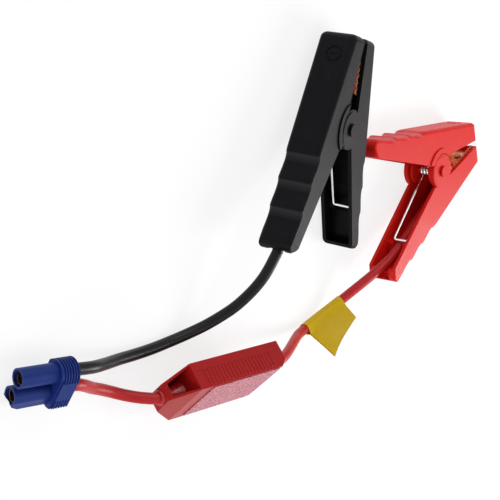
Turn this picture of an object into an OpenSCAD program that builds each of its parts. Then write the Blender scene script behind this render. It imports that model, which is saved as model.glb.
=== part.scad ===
// Jump-starter lead set: a two-pole plug, a black and a red lead, an inline protection box,
// a cable flag, and two sprung battery clamps that lie on their sides.

/* [Clamp arms] */
// Width across an arm at its tip
tip_w = 20; // [18.5:0.5:23]
// Width across an arm at its grip end
grip_w = 17.8; // [16.5:0.2:18.5]
// Wall of an arm
wall = 2; // [1.6:0.1:2.4]
// Pin to tip
tip_len = 46; // [42:0.5:54]
// Pin to grip end
grip_len = 64; // [60:1:76]
// Centreline to the back of an arm, at the tip
tip_back = 13; // [11:0.5:14]
// Centreline to the back of an arm, at the grip end
end_back = 46; // [42:0.5:48]
// Centreline to the rim of an arm, at the grip end
rim_end = 35.5; // [34:0.5:37]
// Rim height where the grip leaves the pivot
rim_pin = 7; // [6.5:0.1:8]
// Rim height where the jaw leaves the pivot
jaw_rim = 6; // [5.5:0.1:7]
// Half the gap between the two arms at the tip
tip_gap = 1.9; // [0.6:0.1:2.2]
// Corner radius of the tip, seen from the side
tip_r = 3.2; // [1:0.2:3.6]
// Corner radius of the grip end, seen from the side
end_r = 5; // [3:0.5:6]
// Corner radius of an arm, seen from its back
plan_r = 3.4; // [2:0.2:4]
// Rounding of an arm's two long back edges
edge_r = 2.5; // [1:0.1:2.6]
// Finger scallops on each grip
grip_count = 3; // [2:1:3]
// Length of a scallop
grip_pitch = 13.5; // [10:0.1:13.5]
// Depth of a scallop
grip_depth = 1.4; // [0.6:0.2:1.8]

/* [Pivot] */
// Radius of the outer ears
ear_r = 10.25; // [10:0.25:13]
// Gap between an ear and the pocket that it turns in
ear_gap = 0.5; // [0.4:0.1:0.8]
// How far an ear stands out of its arm's side
ear_proud = 0.6; // [0.3:0.1:1]
// Radius of the raised disc on an ear
disc_r = 9.25; // [8.5:0.25:9.75]
// Height of the raised disc
disc_h = 0.8; // [0.4:0.1:1.2]
// Thickness of an inner ear
lug_t = 1.8; // [1.4:0.1:2.2]
// Gap between an inner ear and the wall outside it
lug_gap = 0.4; // [0.3:0.05:0.6]
// Radius of an inner ear round the pin
lug_r = 8.5; // [7:0.25:9]
// Width of the rim round the pocket
pocket_rim = 3; // [1.6:0.2:3.2]
// How far that rim stands out of its arm's side
rim_proud = 0.8; // [0.4:0.1:1.2]
// Radius of the pivot pin
pin_r = 2; // [1.7:0.1:2.1]
// Running clearance of the pin
pin_gap = 0.05; // [0.02:0.01:0.08]
// Radius of the pin's head
pin_head_r = 3.4; // [3:0.2:4.6]
// Height of the pin's head
pin_head_h = 0.9; // [0.6:0.1:1.2]

/* [Spring] */
// Diameter of the spring wire
wire_d = 1.5; // [1.2:0.1:1.6]
// Mean radius of the coil
coil_r = 3.25; // [3.1:0.05:3.6]
// Full turns between the two legs
coil_turns = 3; // [2:1:3]
// Pitch of the coil
coil_pitch = 2; // [1.95:0.05:2.2]
// Pin to the cross bar, along the grip
bar_x = 40; // [36:1:46]
// Gap between a cross bar and its seat
seat_gap = 0.3; // [0.2:0.05:0.4]
// Length of a seat along the grip
seat_len = 4; // [3:0.5:6]

/* [Jaw strips] */
// Thickness of the strip
strip_t = 0.9; // [0.7:0.1:1.2]
// Height of the strip from tooth tips to back
strip_h = 6; // [5.5:0.25:6.5]
// Teeth along each edge
tooth_count = 8; // [6:1:10]
// Pitch of the teeth
tooth_pitch = 3.2; // [2.8:0.1:3.4]
// Height of a tooth
tooth_h = 1.5; // [1:0.1:1.8]
// Tooth tips to the centreline at the tip end
bite = 0.2; // [0.15:0.05:0.4]
// Slope of the tooth line away from the centreline
bite_angle = 8.5; // [7:0.5:10]
// Gap between the strip and the arm's walls
strip_gap = 0.25; // [0.2:0.05:0.4]
// Length of the flat tail
tail_len = 9; // [6:0.5:10]
// Half the width of the tail
tail_half = 4; // [3:0.25:4.5]
// Radius of the open hole in the strip
strip_hole_r = 1.9; // [1.2:0.1:2.2]
// Radius of the rivets
rivet_r = 1.25; // [1:0.05:1.4]
// Radius of a rivet's head
rivet_head_r = 2.2; // [1.8:0.1:2.6]
// Radius of the bosses under the strip
boss_r = 2.8; // [2.2:0.1:3]

/* [Leads] */
// Diameter of the leads
lead_d = 5.5; // [5.2:0.1:5.6]
// Height of the floor panel under a lead
panel_h = 1; // [0.6:0.1:1.2]
// Gap between a lead and what it passes
lead_gap = 0.25; // [0.2:0.05:0.35]
// Width of the notch in the grip's end wall
notch_w = 10; // [8:0.5:11]
// Length of the ferrule on a lead's end
ferrule_len = 8; // [5:0.5:9]

/* [Plug] */
// Distance between the two poles
pole_pitch = 10.2; // [10:0.1:11]
// Diameter of a barrel
barrel_d = 8.4; // [8.1:0.1:9]
// Length of a barrel in front of the collar
barrel_len = 16.8; // [14:0.2:20]
// Bore of a barrel
barrel_bore = 6.6; // [6.4:0.1:6.8]
// Inside diameter of a contact
contact_bore = 5; // [4.8:0.1:5.2]
// Outside diameter of a contact
contact_d = 6.2; // [5.8:0.1:6.2]
// How far a contact lies behind the barrel's mouth
contact_back = 4; // [2:0.5:6]
// Depth of a contact's bore
contact_depth = 14; // [10:0.5:15]
// Length of the collar
collar_len = 8.5; // [7.5:0.5:11]
// Thickness of the collar
collar_t = 12.8; // [12:0.2:14]
// How far the pointed side reaches past its pole
collar_point = 7; // [6.6:0.2:8]
// Grooves across each end of the collar
groove_count = 6; // [3:1:6]
// Depth of a groove
groove_depth = 0.5; // [0.3:0.1:0.7]
// How far the key stands out of the positive barrel
key_h = 1.9; // [1.2:0.1:2.4]

/* [Inline box] */
// Length of the box
box_l = 59; // [52:1:70]
// Width of the box
box_w = 31; // [28:0.5:36]
// Thickness of the box
box_t = 13.6; // [12.6:0.2:16]
// Wall of the box
box_wall = 1.8; // [1.4:0.1:2.2]
// Length of the neck round the lead
neck_len = 12; // [9:0.5:14]
// Wall of the neck
neck_wall = 1; // [0.8:0.1:1.3]
// Half the width of the neck's end
neck_half_w = 5.6; // [5:0.2:7]
// Half the thickness of the neck's end
neck_half_t = 4.2; // [4:0.1:5]
// Bevel across the far end
box_bevel = 5; // [3:0.5:6]
// Height of the seam above the middle, at the near side
seam_side = 2.3; // [1:0.1:2.6]
// Bare border between the neck and the textured pad
pad_border = 8; // [5:0.5:10]
// Thickness of the textured pad
pad_t = 0.5; // [0.3:0.1:0.8]
// Ribs along each narrow side
rib_count = 20; // [6:1:24]
// Height of a rib
rib_h = 0.2; // [0.2:0.05:0.5]
// Thickness of the circuit board
board_t = 1.6; // [1:0.2:1.6]
// Height of the diodes
diode_h = 3; // [2:0.2:3.2]

/* [Cable flag] */
// Length along the lead
flag_w = 31.5; // [24:0.5:38]
// Reach away from the lead at the box's end
flag_len = 22.5; // [18:0.5:28]
// Reach away from the lead at the clamp's end
flag_short = 13; // [10:0.5:18]
// How far the sheet's edge curls
flag_curl = 1.2; // [0:0.2:3]
// Thickness of the folded sheet
flag_t = 0.8; // [0.5:0.1:1.2]

/* [Hidden] */
$fn = 48;

BLACK = [0.08, 0.08, 0.09];
RED = [0.78, 0.10, 0.09];
BLUE = [0.12, 0.18, 0.50];
COPPER = [0.86, 0.46, 0.25];
GOLD = [0.85, 0.65, 0.25];
STEEL = [0.78, 0.79, 0.81];
YELLOW = [0.90, 0.74, 0.12];

far = 60;                      // reach of cutting solids, past any clamp or box
lead_r = lead_d / 2;
wire_r = wire_d / 2;
lead_drop = wall + grip_depth + panel_h + lead_gap + lead_r;  // arm's back to the lead's middle
leg_z = coil_pitch * (coil_turns + 1 / 3) / 2;                // height of a leg off mid-width
jaw_x = 12;                    // where the jaw's rim meets the pivot
rim_x = 9;                     // where the grip's rim meets the pivot
grip_start = 15;               // first scallop, behind the pin
rim_slope = (rim_end - rim_pin) / (grip_len - rim_x);

// Attitude of each clamp: lean about its long axis, then heading. It rests on its grip and its tip.
function rest_pitch(lean) = atan2(sin(lean) * (end_back - tip_back) - (tip_w - grip_w) / 2,
    tip_len + grip_len);
function rest_z(lean) = let (p = rest_pitch(lean)) sin(p) * tip_len
    + cos(p) * (sin(lean) * tip_back + cos(lean) * tip_w / 2);
black_lean = 9.8;
red_lean = 6.5;

// ---- routes of the free leads, end to end, in the object's own frame ----
black_route = [[84.1, -128.8, 12.9], [82.3, -117.7, 12.4], [81, -106.7, 8.8], [79, -95.5, 5.4],
    [76.3, -84.3, 3.6], [72.6, -73.3, 3], [68, -62.5, 2.9], [62.9, -54, 4.5], [56.7, -46.7, 7.7],
    [50.1, -41.3, 11.3], [43.8, -37.5, 14.7], [37.1, -34.8, 17.7], [30.2, -32.7, 20.2], [23, -31.3, 22],
    [12.5, -29.7, 23.1]];
plug_side_route = [[92.7, -125.6, 8.3], [91.3, -118.9, 8.5], [92, -111.7, 6.5], [93.2, -104.7, 4.2],
    [93.8, -97.7, 3.1], [94.4, -90.7, 3.2], [94.6, -83.9, 5.8], [93.8, -77.3, 10.4],
    [92.2, -70.7, 13.9], [88.7, -60.7, 15.1]];
clamp_side_route = [[69.5, -6.5, 19.5], [66.4, 3.4, 20.3], [62.4, 12.4, 18.6], [58.4, 21.3, 14.8],
    [54.7, 29.8, 10.6], [51.3, 38.3, 6.6], [46.9, 47.3, 4.4], [40.6, 55.9, 4.2], [33.4, 62.9, 5.8],
    [26, 68.3, 8.4], [19.3, 72.6, 11], [12.8, 76.8, 13.5], [5.2, 82.2, 15.9], [-4, 89.9, 17.3],
    [-10.8, 96, 17.2]];

// ---- vectors and outlines ----
function unit(v) = v / norm(v);
function corner(a, b, c, r, n = 5) = let (u = unit(a - b), v = unit(c - b),
    half = acos(u * v) / 2, o = b + unit(u + v) * (r / sin(half)),
    p = b + u * (r / tan(half)), q = b + v * (r / tan(half)),
    a0 = atan2(p.y - o.y, p.x - o.x), turn = atan2(q.y - o.y, q.x - o.x) - a0,
    da = turn > 180 ? turn - 360 : turn < -180 ? turn + 360 : turn)
    [for (i = [0:n]) o + r * [cos(a0 + da * i / n), sin(a0 + da * i / n)]];
function flat(p) = [p.x, p.y];
// Points are [x, y, corner radius].
function rounded(p) = let (n = len(p)) [for (i = [0:n - 1])
    each p[i][2] > 0 ? corner(flat(p[(i + n - 1) % n]), flat(p[i]), flat(p[(i + 1) % n]), p[i][2])
        : [flat(p[i])]];

// ---- tubes swept along a path ----
// Curve through the points, in three steps between each two.
function smooth(p) = let (n = len(p) - 1) concat([for (i = [0:n - 1]) for (t = [0, 1 / 3, 2 / 3])
    let (a = p[max(i - 1, 0)], b = p[i], c = p[i + 1], d = p[min(i + 2, n)])
    b + ((c - a) * t + (2 * a - 5 * b + 4 * c - d) * t * t + (3 * b - a - 3 * c + d) * t * t * t) / 2],
    [p[n]]);
// Point at distance d along a path.
function walk(p, d, i = 0) = let (l = norm(p[i + 1] - p[i])) i >= len(p) - 2 || d <= l
    ? p[i] + (p[i + 1] - p[i]) * d / l : walk(p, d - l, i + 1);
function tangents(p) = let (n = len(p) - 1) [for (i = [0:n])
    i == 0 ? unit(p[1] - p[0]) : i == n ? unit(p[n] - p[n - 1])
        : unit(unit(p[i + 1] - p[i]) + unit(p[i] - p[i - 1]))];
function square_to(n, t) = unit(n - (n * t) * t);
function carried(t, up) = [for (i = 0, n = square_to(up, t[0]); i < len(t);
    i = i + 1, n = i < len(t) ? square_to(n, t[i]) : n) n];

module tube(path, r, sides) {
    t = tangents(path);
    n = carried(t, abs(t[0].z) < 0.9 ? [0, 0, 1] : [1, 0, 0]);
    last = len(path) - 1;
    points = [for (i = [0:last]) let (b = cross(t[i], n[i])) for (j = [0:sides - 1])
        path[i] + r * (cos(360 * j / sides) * n[i] + sin(360 * j / sides) * b)];
    skin = [for (i = [0:last - 1]) for (j = [0:sides - 1]) let (k = (j + 1) % sides,
        a = i * sides + j, b = i * sides + k, c = a + sides, d = b + sides)
        each [[a, c, b], [b, c, d]]];
    ends = [for (j = [1:sides - 2]) each [[0, j, j + 1],
        [last * sides, last * sides + j + 1, last * sides + j]]];
    polyhedron(points, concat(skin, ends));
}

// ---- clamp arms: drawn for the upper side, y > 0, with the pin at the origin and +X to the tip ----
function back_y(x) = end_back - (end_back - tip_back) * (x + grip_len) / (tip_len + grip_len);
function half_w(x) = grip_w / 2 + (tip_w - grip_w) / 2 * (x + grip_len) / (tip_len + grip_len);
function lead_y(x) = back_y(x) - lead_drop;
lug_out = half_w(0) - wall - lug_gap;
lug_in = lug_out - lug_t;
ear_out = half_w(0) + ear_proud;
pocket_r = ear_r + ear_gap;
end_lean = 1.5;                // the grip's end wall leans this much towards the rim
scallop_steps = 8;
scallops = [for (i = [0:grip_count - 1]) for (j = [0:scallop_steps - 1])
    let (t = j / scallop_steps, x = -grip_start - (i + t) * grip_pitch)
    [x, back_y(x) - grip_depth * sin(180 * pow(t, 0.6)), 0]];
grip_last = -grip_start - grip_count * grip_pitch;
arm_outline = rounded(concat([[jaw_x, jaw_rim, 0], [tip_len - 2.2, tip_gap, 0.6],
    [tip_len, tip_gap + 2.4, 0.8], [tip_len, back_y(tip_len), tip_r]], scallops,
    [[grip_last, back_y(grip_last), 0], [-grip_len, end_back, min(end_r, 0.6 * (grip_len + grip_last))],
    [-grip_len + end_lean, rim_end, 0.8], [-rim_x, rim_pin, 0]]));
floor_x = -8;                  // the channel is shallower behind this, under the scallops
cavity_outline = [[tip_len - wall, -1], [tip_len - wall, back_y(tip_len - wall) - wall],
    [floor_x, back_y(floor_x) - wall], [floor_x - 4, back_y(floor_x - 4) - wall - grip_depth],
    [-grip_len + wall, back_y(-grip_len + wall) - wall - grip_depth],
    [-grip_len + wall + end_lean, rim_end - 2], [-grip_len + wall + end_lean, -1]];

function plan_outline(inset) = let (r = max(plan_r - inset, 0.4),
    a = half_w(-grip_len) - inset, b = half_w(tip_len) - inset)
    rounded([[-grip_len + inset, -a, r], [tip_len - inset, -b, r], [tip_len - inset, b, r],
    [-grip_len + inset, a, r]]);

module across(h = far) linear_extrude(h, center = true) children();
module from_back() rotate([90, 0, 0]) across(4 * far) children();
module both_sides() for (s = [0, 1]) mirror([0, 0, s]) children();

// what is taken off each long back edge to round it
module edge_rounds() both_sides() {
    a = [-grip_len, back_y(-grip_len), half_w(-grip_len)];
    b = [tip_len, back_y(tip_len), half_w(tip_len)];
    along = unit(b - a);
    side = square_to([0, 0, 1], along);
    back = cross(side, along);
    start = a - 5 * along;
    multmatrix([for (i = [0:2]) [back[i], side[i], along[i], start[i]]])
        linear_extrude(norm(b - a) + 10) polygon(concat([[0.5, 0.5], [-edge_r, 0.5]],
            [for (t = [90:-15:0]) edge_r * [cos(t) - 1, sin(t) - 1]], [[0.5, -edge_r]]));
}

module channel(has_lead) difference() {
    intersection() {
        across() polygon(arm_outline);
        from_back() polygon(plan_outline(0));
    }
    edge_rounds();
    difference() {
        intersection() {
            across() polygon(cavity_outline);
            from_back() polygon(plan_outline(wall));
        }
        children();
        at_rivets() translate([0, 0, strip_gap]) cylinder(r = boss_r, h = end_back);
        floor_panel();
        bar_seats();
    }
    // notch in the grip's end wall, open to the rim, where a lead comes in
    if (has_lead) translate([-grip_len - 1, 0, -notch_w / 2])
        cube([wall + 4, lead_y(-grip_len) + lead_r + lead_gap, notch_w]);
    at_rivets() cylinder(r = rivet_r, h = rivet_bite);
}

// raised floor panel that the lead lies on
panel_from = -grip_len + wall + 5;
panel_len = 14;
module floor_panel() across(2 * lead_r + 5) polygon([for (x = [panel_from, panel_from + panel_len])
    [x, lead_y(x) + lead_r + lead_gap], for (x = [panel_from + panel_len, panel_from]) [x, end_back + 5]]);

// seats for the spring's cross bar, one on each side wall, with the lead between them
bar_y = lead_y(-bar_x) - lead_r - lead_gap - 0.15 - wire_r;
seat_top = bar_y + wire_r + seat_gap;
module bar_seats() both_sides() translate([-bar_x - seat_len / 2, seat_top, lead_r + lead_gap])
    cube([seat_len, end_back, tip_w]);

module pin_bore(z0) translate([0, 0, -z0]) cylinder(r = pin_r + pin_gap, h = 2 * z0);
module disc(r, z0, z1) both_sides() translate([0, 0, z0]) cylinder(r = r, h = z1 - z0, $fn = 96);

// arm with the pocketed sides and the inner ears
module pocket_arm(has_lead) difference() {
    union() {
        difference() {
            channel(has_lead) disc(pocket_r + pocket_rim, lug_in, far);
            disc(pocket_r, lug_out, far);
        }
        disc(lug_r, lug_in + 0.1, lug_out - 0.1);
        both_sides() translate([0, 0, half_w(0) - wall / 2]) linear_extrude(wall / 2 + rim_proud)
            intersection() {
                difference() {
                    circle(pocket_r + pocket_rim, $fn = 96);
                    circle(pocket_r, $fn = 96);
                }
                offset(delta = -0.3) polygon(arm_outline);
            }
    }
    pin_bore(far);
}

// arm with the outer ears and their raised discs
module ear_arm(has_lead) difference() {
    union() {
        channel(has_lead);
        disc(ear_r, half_w(0) - wall + 0.1, ear_out);
        disc(disc_r, half_w(0) - wall / 2, ear_out + disc_h);
    }
    pin_bore(far);
}

// ---- jaw strips: local x runs from the pivot to the tip end along the tooth line, y to the back ----
strip_len = tooth_count * tooth_pitch;
strip_x = tip_len - wall - strip_gap - strip_h * sin(bite_angle);
strip_half = half_w(strip_x - strip_len) - wall - strip_gap;
rivet_at = [7.5, 16.5];
rivet_bite = 4;
hole_at = 22;
module on_strip() translate([strip_x, bite, 0]) rotate([0, 0, -bite_angle]) children();
// local z runs from the strip's back into the arm
module at_rivets() on_strip() for (s = rivet_at) translate([-s, strip_h, 0]) rotate([-90, 0, 0]) children();

module jaw_strip() on_strip() difference() {
    union() {
        both_sides() translate([0, 0, strip_half - strip_t]) linear_extrude(strip_t) polygon(concat(
            [for (i = [0:tooth_count - 1]) each [[-i * tooth_pitch, tooth_h], [-(i + 0.5) * tooth_pitch, 0]]],
            [[-strip_len, tooth_h], [-strip_len, strip_h], [0, strip_h]]));
        translate([-strip_len, strip_h - strip_t, -strip_half]) cube([strip_len, strip_t, 2 * strip_half]);
        translate([-strip_len - tail_len, strip_h - strip_t, -tail_half])
            cube([tail_len + 1, strip_t, 2 * tail_half]);
    }
    for (s = rivet_at) translate([-s, 0, 0]) rotate([-90, 0, 0]) cylinder(r = rivet_r + pin_gap, h = far);
    translate([-hole_at, 0, 0]) rotate([-90, 0, 0]) cylinder(r = strip_hole_r, h = far);
}

module jaw_rivets() at_rivets() {
    translate([0, 0, -strip_t - 0.1]) cylinder(r = rivet_r - pin_gap, h = strip_t + rivet_bite - 0.2);
    translate([0, 0, -strip_t - 0.9]) cylinder(r = rivet_head_r, h = 0.8);
}

// ---- pivot pin and torsion spring ----
module pivot_pin() {
    z = ear_out + disc_h;
    translate([0, 0, -z - 0.1]) cylinder(r = pin_r, h = 2 * z + 0.2);
    both_sides() translate([0, 0, z + 0.1]) cylinder(r = pin_head_r, h = pin_head_h);
}

bar_end = half_w(-bar_x) - wall - 0.7;
leg_turn = atan2(bar_y, -bar_x) - acos(coil_r / norm([bar_x, bar_y]));
coil_steps = ceil((coil_turns + leg_turn / 180) * 8);
bend = 1.2;                    // how far a leg's bend into its bar reaches
function leg(s) = let (a = [-bar_x, s * bar_y, s * leg_z],
    t = [coil_r * cos(leg_turn), s * coil_r * sin(leg_turn), s * leg_z], d = unit(t - a))
    [[-bar_x, s * bar_y, -s * bar_end], [-bar_x, s * bar_y, s * (leg_z - bend)],
    a + d * bend * 0.3 - [0, 0, s * bend * 0.3], a + d * bend, t - d * wire_d];
coil_path = [for (i = [0:coil_steps]) let (t = i / coil_steps, a = leg_turn - t * (2 * leg_turn + 360 * coil_turns))
    [coil_r * cos(a), coil_r * sin(a), leg_z * (1 - 2 * t)]];
lower_leg = leg(-1);
spring_path = concat(leg(1), coil_path, [for (i = [len(lower_leg) - 1:-1:0]) lower_leg[i]]);
// least distance between two points of the coil that are at least half a turn apart, less the wire
coil_gap = min([for (i = [0:coil_steps]) for (j = [i + 4:1:coil_steps]) norm(coil_path[i] - coil_path[j])]) - wire_d;
echo(least_gap_of_spring_to_itself = coil_gap);

module torsion_spring() tube(spring_path, wire_r, 6);

// ---- lead inside a clamp, and the ferrule that joins it to the strip ----
lead_stop = strip_x - strip_len - ferrule_len / 2;   // the lead's jacket ends here, in front of the pin
red_lead_from = -44;           // where the red lead's last stretch begins, inside its arm
lead_slope = atan2(end_back - tip_back, tip_len + grip_len);
module along_lead(x) translate([x, lead_y(x), 0]) rotate([0, 0, -lead_slope]) rotate([0, 90, 0]) children();
module lead_end(x0) along_lead(x0) cylinder(r = lead_r, h = (lead_stop - x0) / cos(lead_slope));
module ferrule() difference() {
    union() {
        along_lead(lead_stop) cylinder(r = lead_r - 0.5, h = ferrule_len);
        x = lead_stop + ferrule_len / 2;
        translate([x - 2, tail_top(x), -1.5]) cube([4, lead_y(x) - tail_top(x), 3]);
    }
    on_strip() translate([-far, -far, -far]) cube([2 * far, far + strip_h + 0.05, 2 * far]);
}
function tail_top(x) = bite + (strip_x - x) * tan(bite_angle);

// ---- where the clamps lie ----
module black_clamp() translate([-57, -3.9, rest_z(black_lean)])
    rotate([black_lean, rest_pitch(black_lean), -169.5]) children();
module red_clamp() translate([-63.4, 110.4, rest_z(red_lean)])
    rotate([-red_lean, rest_pitch(red_lean), 128.3]) children();
module other_arm() mirror([0, 1, 0]) children();

// ---- plug: +X to the mouths, -Y negative pole, +Y positive pole ----
plug_reach = pole_pitch / 2;
collar_half = collar_t / 2;
round_at = -plug_reach + 1;     // centre of the collar's round end
collar_ends = [plug_reach + 2.6, plug_reach + 5.3];  // where its lower and upper flats end
collar_outline = concat([for (a = [90:12:270]) [round_at + collar_half * cos(a), collar_half * sin(a)]],
    [[collar_ends[0], -collar_half], [plug_reach + collar_point, -2], [plug_reach + collar_point, 2],
    [collar_ends[1], collar_half]]);
groove_pitch = (collar_len - 1) / groove_count;

module collar_section(grow) offset(delta = grow) polygon(collar_outline);
module slab(x0, len) translate([x0, 0, 0]) rotate([90, 0, 90]) linear_extrude(len) children();
module barrel(y) translate([0, y, 0]) rotate([0, 90, 0]) children();

module plug_housing() color(BLUE) difference() {
    union() {
        slab(-collar_len, collar_len - 1) polygon(collar_outline);
        slab(-1.01, 1.01) collar_front();
        for (y = [-plug_reach, plug_reach]) barrel(y) cylinder(d = barrel_d, h = barrel_len);
        difference() {
            slab(-0.5, barrel_len + 0.5) polygon([[plug_reach, -barrel_d / 2 + 0.15],
                [plug_reach + barrel_d / 2 + key_h - 1.6, -barrel_d / 2 + 0.9],
                [plug_reach + barrel_d / 2 + key_h, -1.6], [plug_reach + barrel_d / 2 + key_h, 1.6],
                [plug_reach + barrel_d / 2 + key_h - 1.6, barrel_d / 2 - 0.9],
                [plug_reach, barrel_d / 2 - 0.15]]);
            translate([barrel_len, plug_reach + barrel_d / 2 - 0.3, -far / 2]) rotate([0, 0, 20])
                translate([-far / 2 - 4, 0, 0]) cube([far, far, far]);
        }
    }
    for (y = [-plug_reach, plug_reach]) barrel(y) translate([0, 0, -collar_len + 2]) {
        cylinder(d = barrel_bore, h = far);
    }
    collar_grooves();
}
module collar_front() intersection() {
    polygon(collar_outline);
    translate([0, 0]) square([2 * (plug_reach + collar_point) - 1.2, collar_t - 1.2], center = true);
}
module collar_grooves() for (i = [0:groove_count - 1]) {
    x = -collar_len + 0.5 + i * groove_pitch;
    slab(x, groove_pitch * 0.5) difference() {
        translate([round_at - far, -far / 2]) square([far, far]);
        translate([round_at, 0]) circle(collar_half - groove_depth);
    }
    for (s = [0, 1]) mirror([0, 0, 1 - s]) slab(x, groove_pitch * 0.5) polygon([
        [plug_reach + 0.6, collar_half + 0.1], [collar_ends[s] + 0.1, collar_half + 0.1],
        [plug_reach + collar_point + 0.1, 2], [plug_reach + collar_point + 0.1, 2 - groove_depth],
        [collar_ends[s] - groove_depth * 0.6, collar_half - groove_depth],
        [plug_reach + 0.6, collar_half - groove_depth]]);
}
module plug_contact(y) color(GOLD) barrel(y) difference() {
    front = barrel_len - contact_back;
    translate([0, 0, -collar_len + 2]) {
        cylinder(d = contact_d, h = front + collar_len - 2);
        cylinder(d = barrel_bore - 0.1, h = 4);
    }
    translate([0, 0, front - contact_depth]) cylinder(d = contact_bore, h = contact_depth + 1);
}
module plug() translate([90.8, -135.3, 9.4]) rotate([-26.8, 8, -73.6]) children();

// ---- inline box: +X to the clamp, +Y the near narrow side, +Z the textured face ----
box_side = [[-box_l / 2 - neck_len, -neck_half_t], [-box_l / 2, -box_t / 2], [box_l / 2, -box_t / 2],
    [box_l / 2, box_t / 2 - box_bevel * 0.8], [box_l / 2 - box_bevel, box_t / 2], [-box_l / 2, box_t / 2],
    [-box_l / 2 - neck_len, neck_half_t]];
box_plan = rounded([[-box_l / 2 - neck_len, -neck_half_w, 1], [-box_l / 2, -box_w / 2, 1],
    [box_l / 2, -box_w / 2, 3], [box_l / 2, box_w / 2, 1], [-box_l / 2, box_w / 2, 1],
    [-box_l / 2 - neck_len, neck_half_w, 1]]);
room_l = box_l - 2 * box_wall;
room_w = box_w - 2 * box_wall;
room_t = box_t - 2 * box_wall;
module box_solid() difference() {
    intersection() {
        from_back() polygon(box_side);
        across() polygon(box_plan);
    }
    // room for the board, kept clear of the bevel
    translate([-room_l / 2, -room_w / 2, -room_t / 2]) cube([room_l - box_bevel, room_w, room_t]);
    // open side of the neck
    translate([0, -neck_half_w + box_wall, 0]) rotate([90, 0, 0]) mirror([0, 0, 1]) linear_extrude(far) polygon([
        [-box_l / 2 - neck_len + 2, -neck_half_t + neck_wall], [-box_l / 2 - 0.2, -box_t / 2 + neck_wall],
        [-box_l / 2 - 0.2, box_t / 2 - neck_wall], [-box_l / 2 - neck_len + 2, neck_half_t - neck_wall]]);
    // blind hole in the far end, and the way through the neck, for the lead
    translate([box_l / 2 - 2.8, 0, -0.8]) rotate([0, 90, 0]) cylinder(r = lead_r + lead_gap, h = far);
    translate([-box_l / 2 - neck_len - 1, 0, 0]) rotate([0, 90, 0]) cylinder(r = lead_r + lead_gap, h = neck_len);
}
// ribs on each narrow side, from the seam to the near edge of the wider half
module box_ribs() for (s = [-1, 1]) for (i = [0:rib_count - 1]) scale([1, s, s])
    translate([-box_l / 2 + 6 + i * (box_l - 14) / rib_count, box_w / 2 - 0.1, -seam_side + 0.5])
        cube([(box_l - 14) / rib_count * 0.5, rib_h + 0.1, box_t / 2 + seam_side - 1.5]);
seam_tilt = -atan2(seam_side, box_w / 2);
module half_space(s) rotate([seam_tilt, 0, 0]) translate([-2 * far, -far, s > 0 ? 0.05 : -far - 0.05])
    cube([4 * far, 2 * far, far]);
board_z = -board_t;
post_at = [room_l / 2 - 9, room_w / 2 - 3];
module box_shell_front() color(RED) intersection() {
    union() {
        box_solid();
        box_ribs();
    }
    half_space(1);
}
module box_shell_back() color(RED) {
    intersection() {
        union() {
            box_solid();
            box_ribs();
        }
        half_space(-1);
    }
    for (sx = [-1, 1]) for (sy = [-1, 1]) translate([sx * post_at.x - 2.5, sy * post_at.y, -room_t / 2 - 0.5])
        cylinder(r = 1.5, h = room_t / 2 + 0.5 + board_z);
}
module box_pad() color([0.86, 0.62, 0.68]) translate([0, 0, box_t / 2]) linear_extrude(pad_t) polygon(rounded([
    [-box_l / 2 + pad_border, -box_w / 2 + 1.2, 1], [box_l / 2 - box_bevel - 1, -box_w / 2 + 1.2, 4],
    [box_l / 2 - box_bevel - 1, box_w / 2 - 1.2, 1], [-box_l / 2 + pad_border, box_w / 2 - 1.2, 1]]));
module box_board() color([0.10, 0.35, 0.20]) translate([-room_l / 2 + 0.3, -room_w / 2 + 0.3, board_z])
    cube([room_l - box_bevel - 0.6, room_w - 0.6, board_t]);
module box_diodes() color(BLACK) for (i = [-1, 0, 1]) translate([i * 13 - 5, -5, 0]) cube([9, 10, diode_h]);
module box() translate([78.7, -31.6, 17.8]) rotate([40.8, -5, 109]) children();

// ---- cable flag: a sleeve round the lead and a folded sheet that stands off it ----
flag_rows = 6;
flag_at = 59.5;                // start of the flag, along the lead from the box
flag_way = unit([0.38, 0.27, 0.885]);
flag_path = smooth(clamp_side_route);
function flag_base(u) = walk(flag_path, flag_at + u * flag_w);
function flag_reach(u) = flag_len + (flag_short - flag_len) * u;
function flag_side(u) = unit(cross(flag_base(u + 0.05) - flag_base(u - 0.05), flag_way));
function flag_point(u, v, s) = flag_base(u) + flag_way * (2.2 + v * (flag_reach(u) - 2.2))
    + flag_side(u) * (s * flag_t / 2 + flag_curl * v * v);
module flag_bore() tube([for (u = [-0.1:0.1:1.1]) flag_base(u)], lead_r + lead_gap, 12);
module cable_flag() color(YELLOW) difference() {
    union() {
        tube([for (u = [0:0.1:1]) flag_base(u)], lead_r + lead_gap + flag_t, 12);
        flag_sheet();
    }
    flag_bore();
}
module flag_sheet() {
    n = flag_rows;
    row = n + 1;
    side = row * row;
    points = [for (s = [-1, 1]) for (i = [0:n]) for (j = [0:n]) flag_point(i / n, j / n, s)];
    rim = concat([for (j = [0:n]) j], [for (i = [1:n]) i * row + n], [for (j = [n - 1:-1:0]) n * row + j],
        [for (i = [n - 1:-1:1]) i * row]);
    faces = concat(
        [for (i = [0:n - 1]) for (j = [0:n - 1]) let (a = i * row + j) each [[a, a + row, a + 1], [a + 1, a + row, a + row + 1]]],
        [for (i = [0:n - 1]) for (j = [0:n - 1]) let (a = side + i * row + j)
            each [[a, a + 1, a + row], [a + 1, a + row + 1, a + row]]],
        [for (k = [0:len(rim) - 1]) let (a = rim[k], b = rim[(k + 1) % len(rim)])
            each [[a, b, a + side], [b, b + side, a + side]]]);
    polyhedron(points, faces);
}

module lead(route, shade) color(shade) tube(smooth(route), lead_r, 10);

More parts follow.
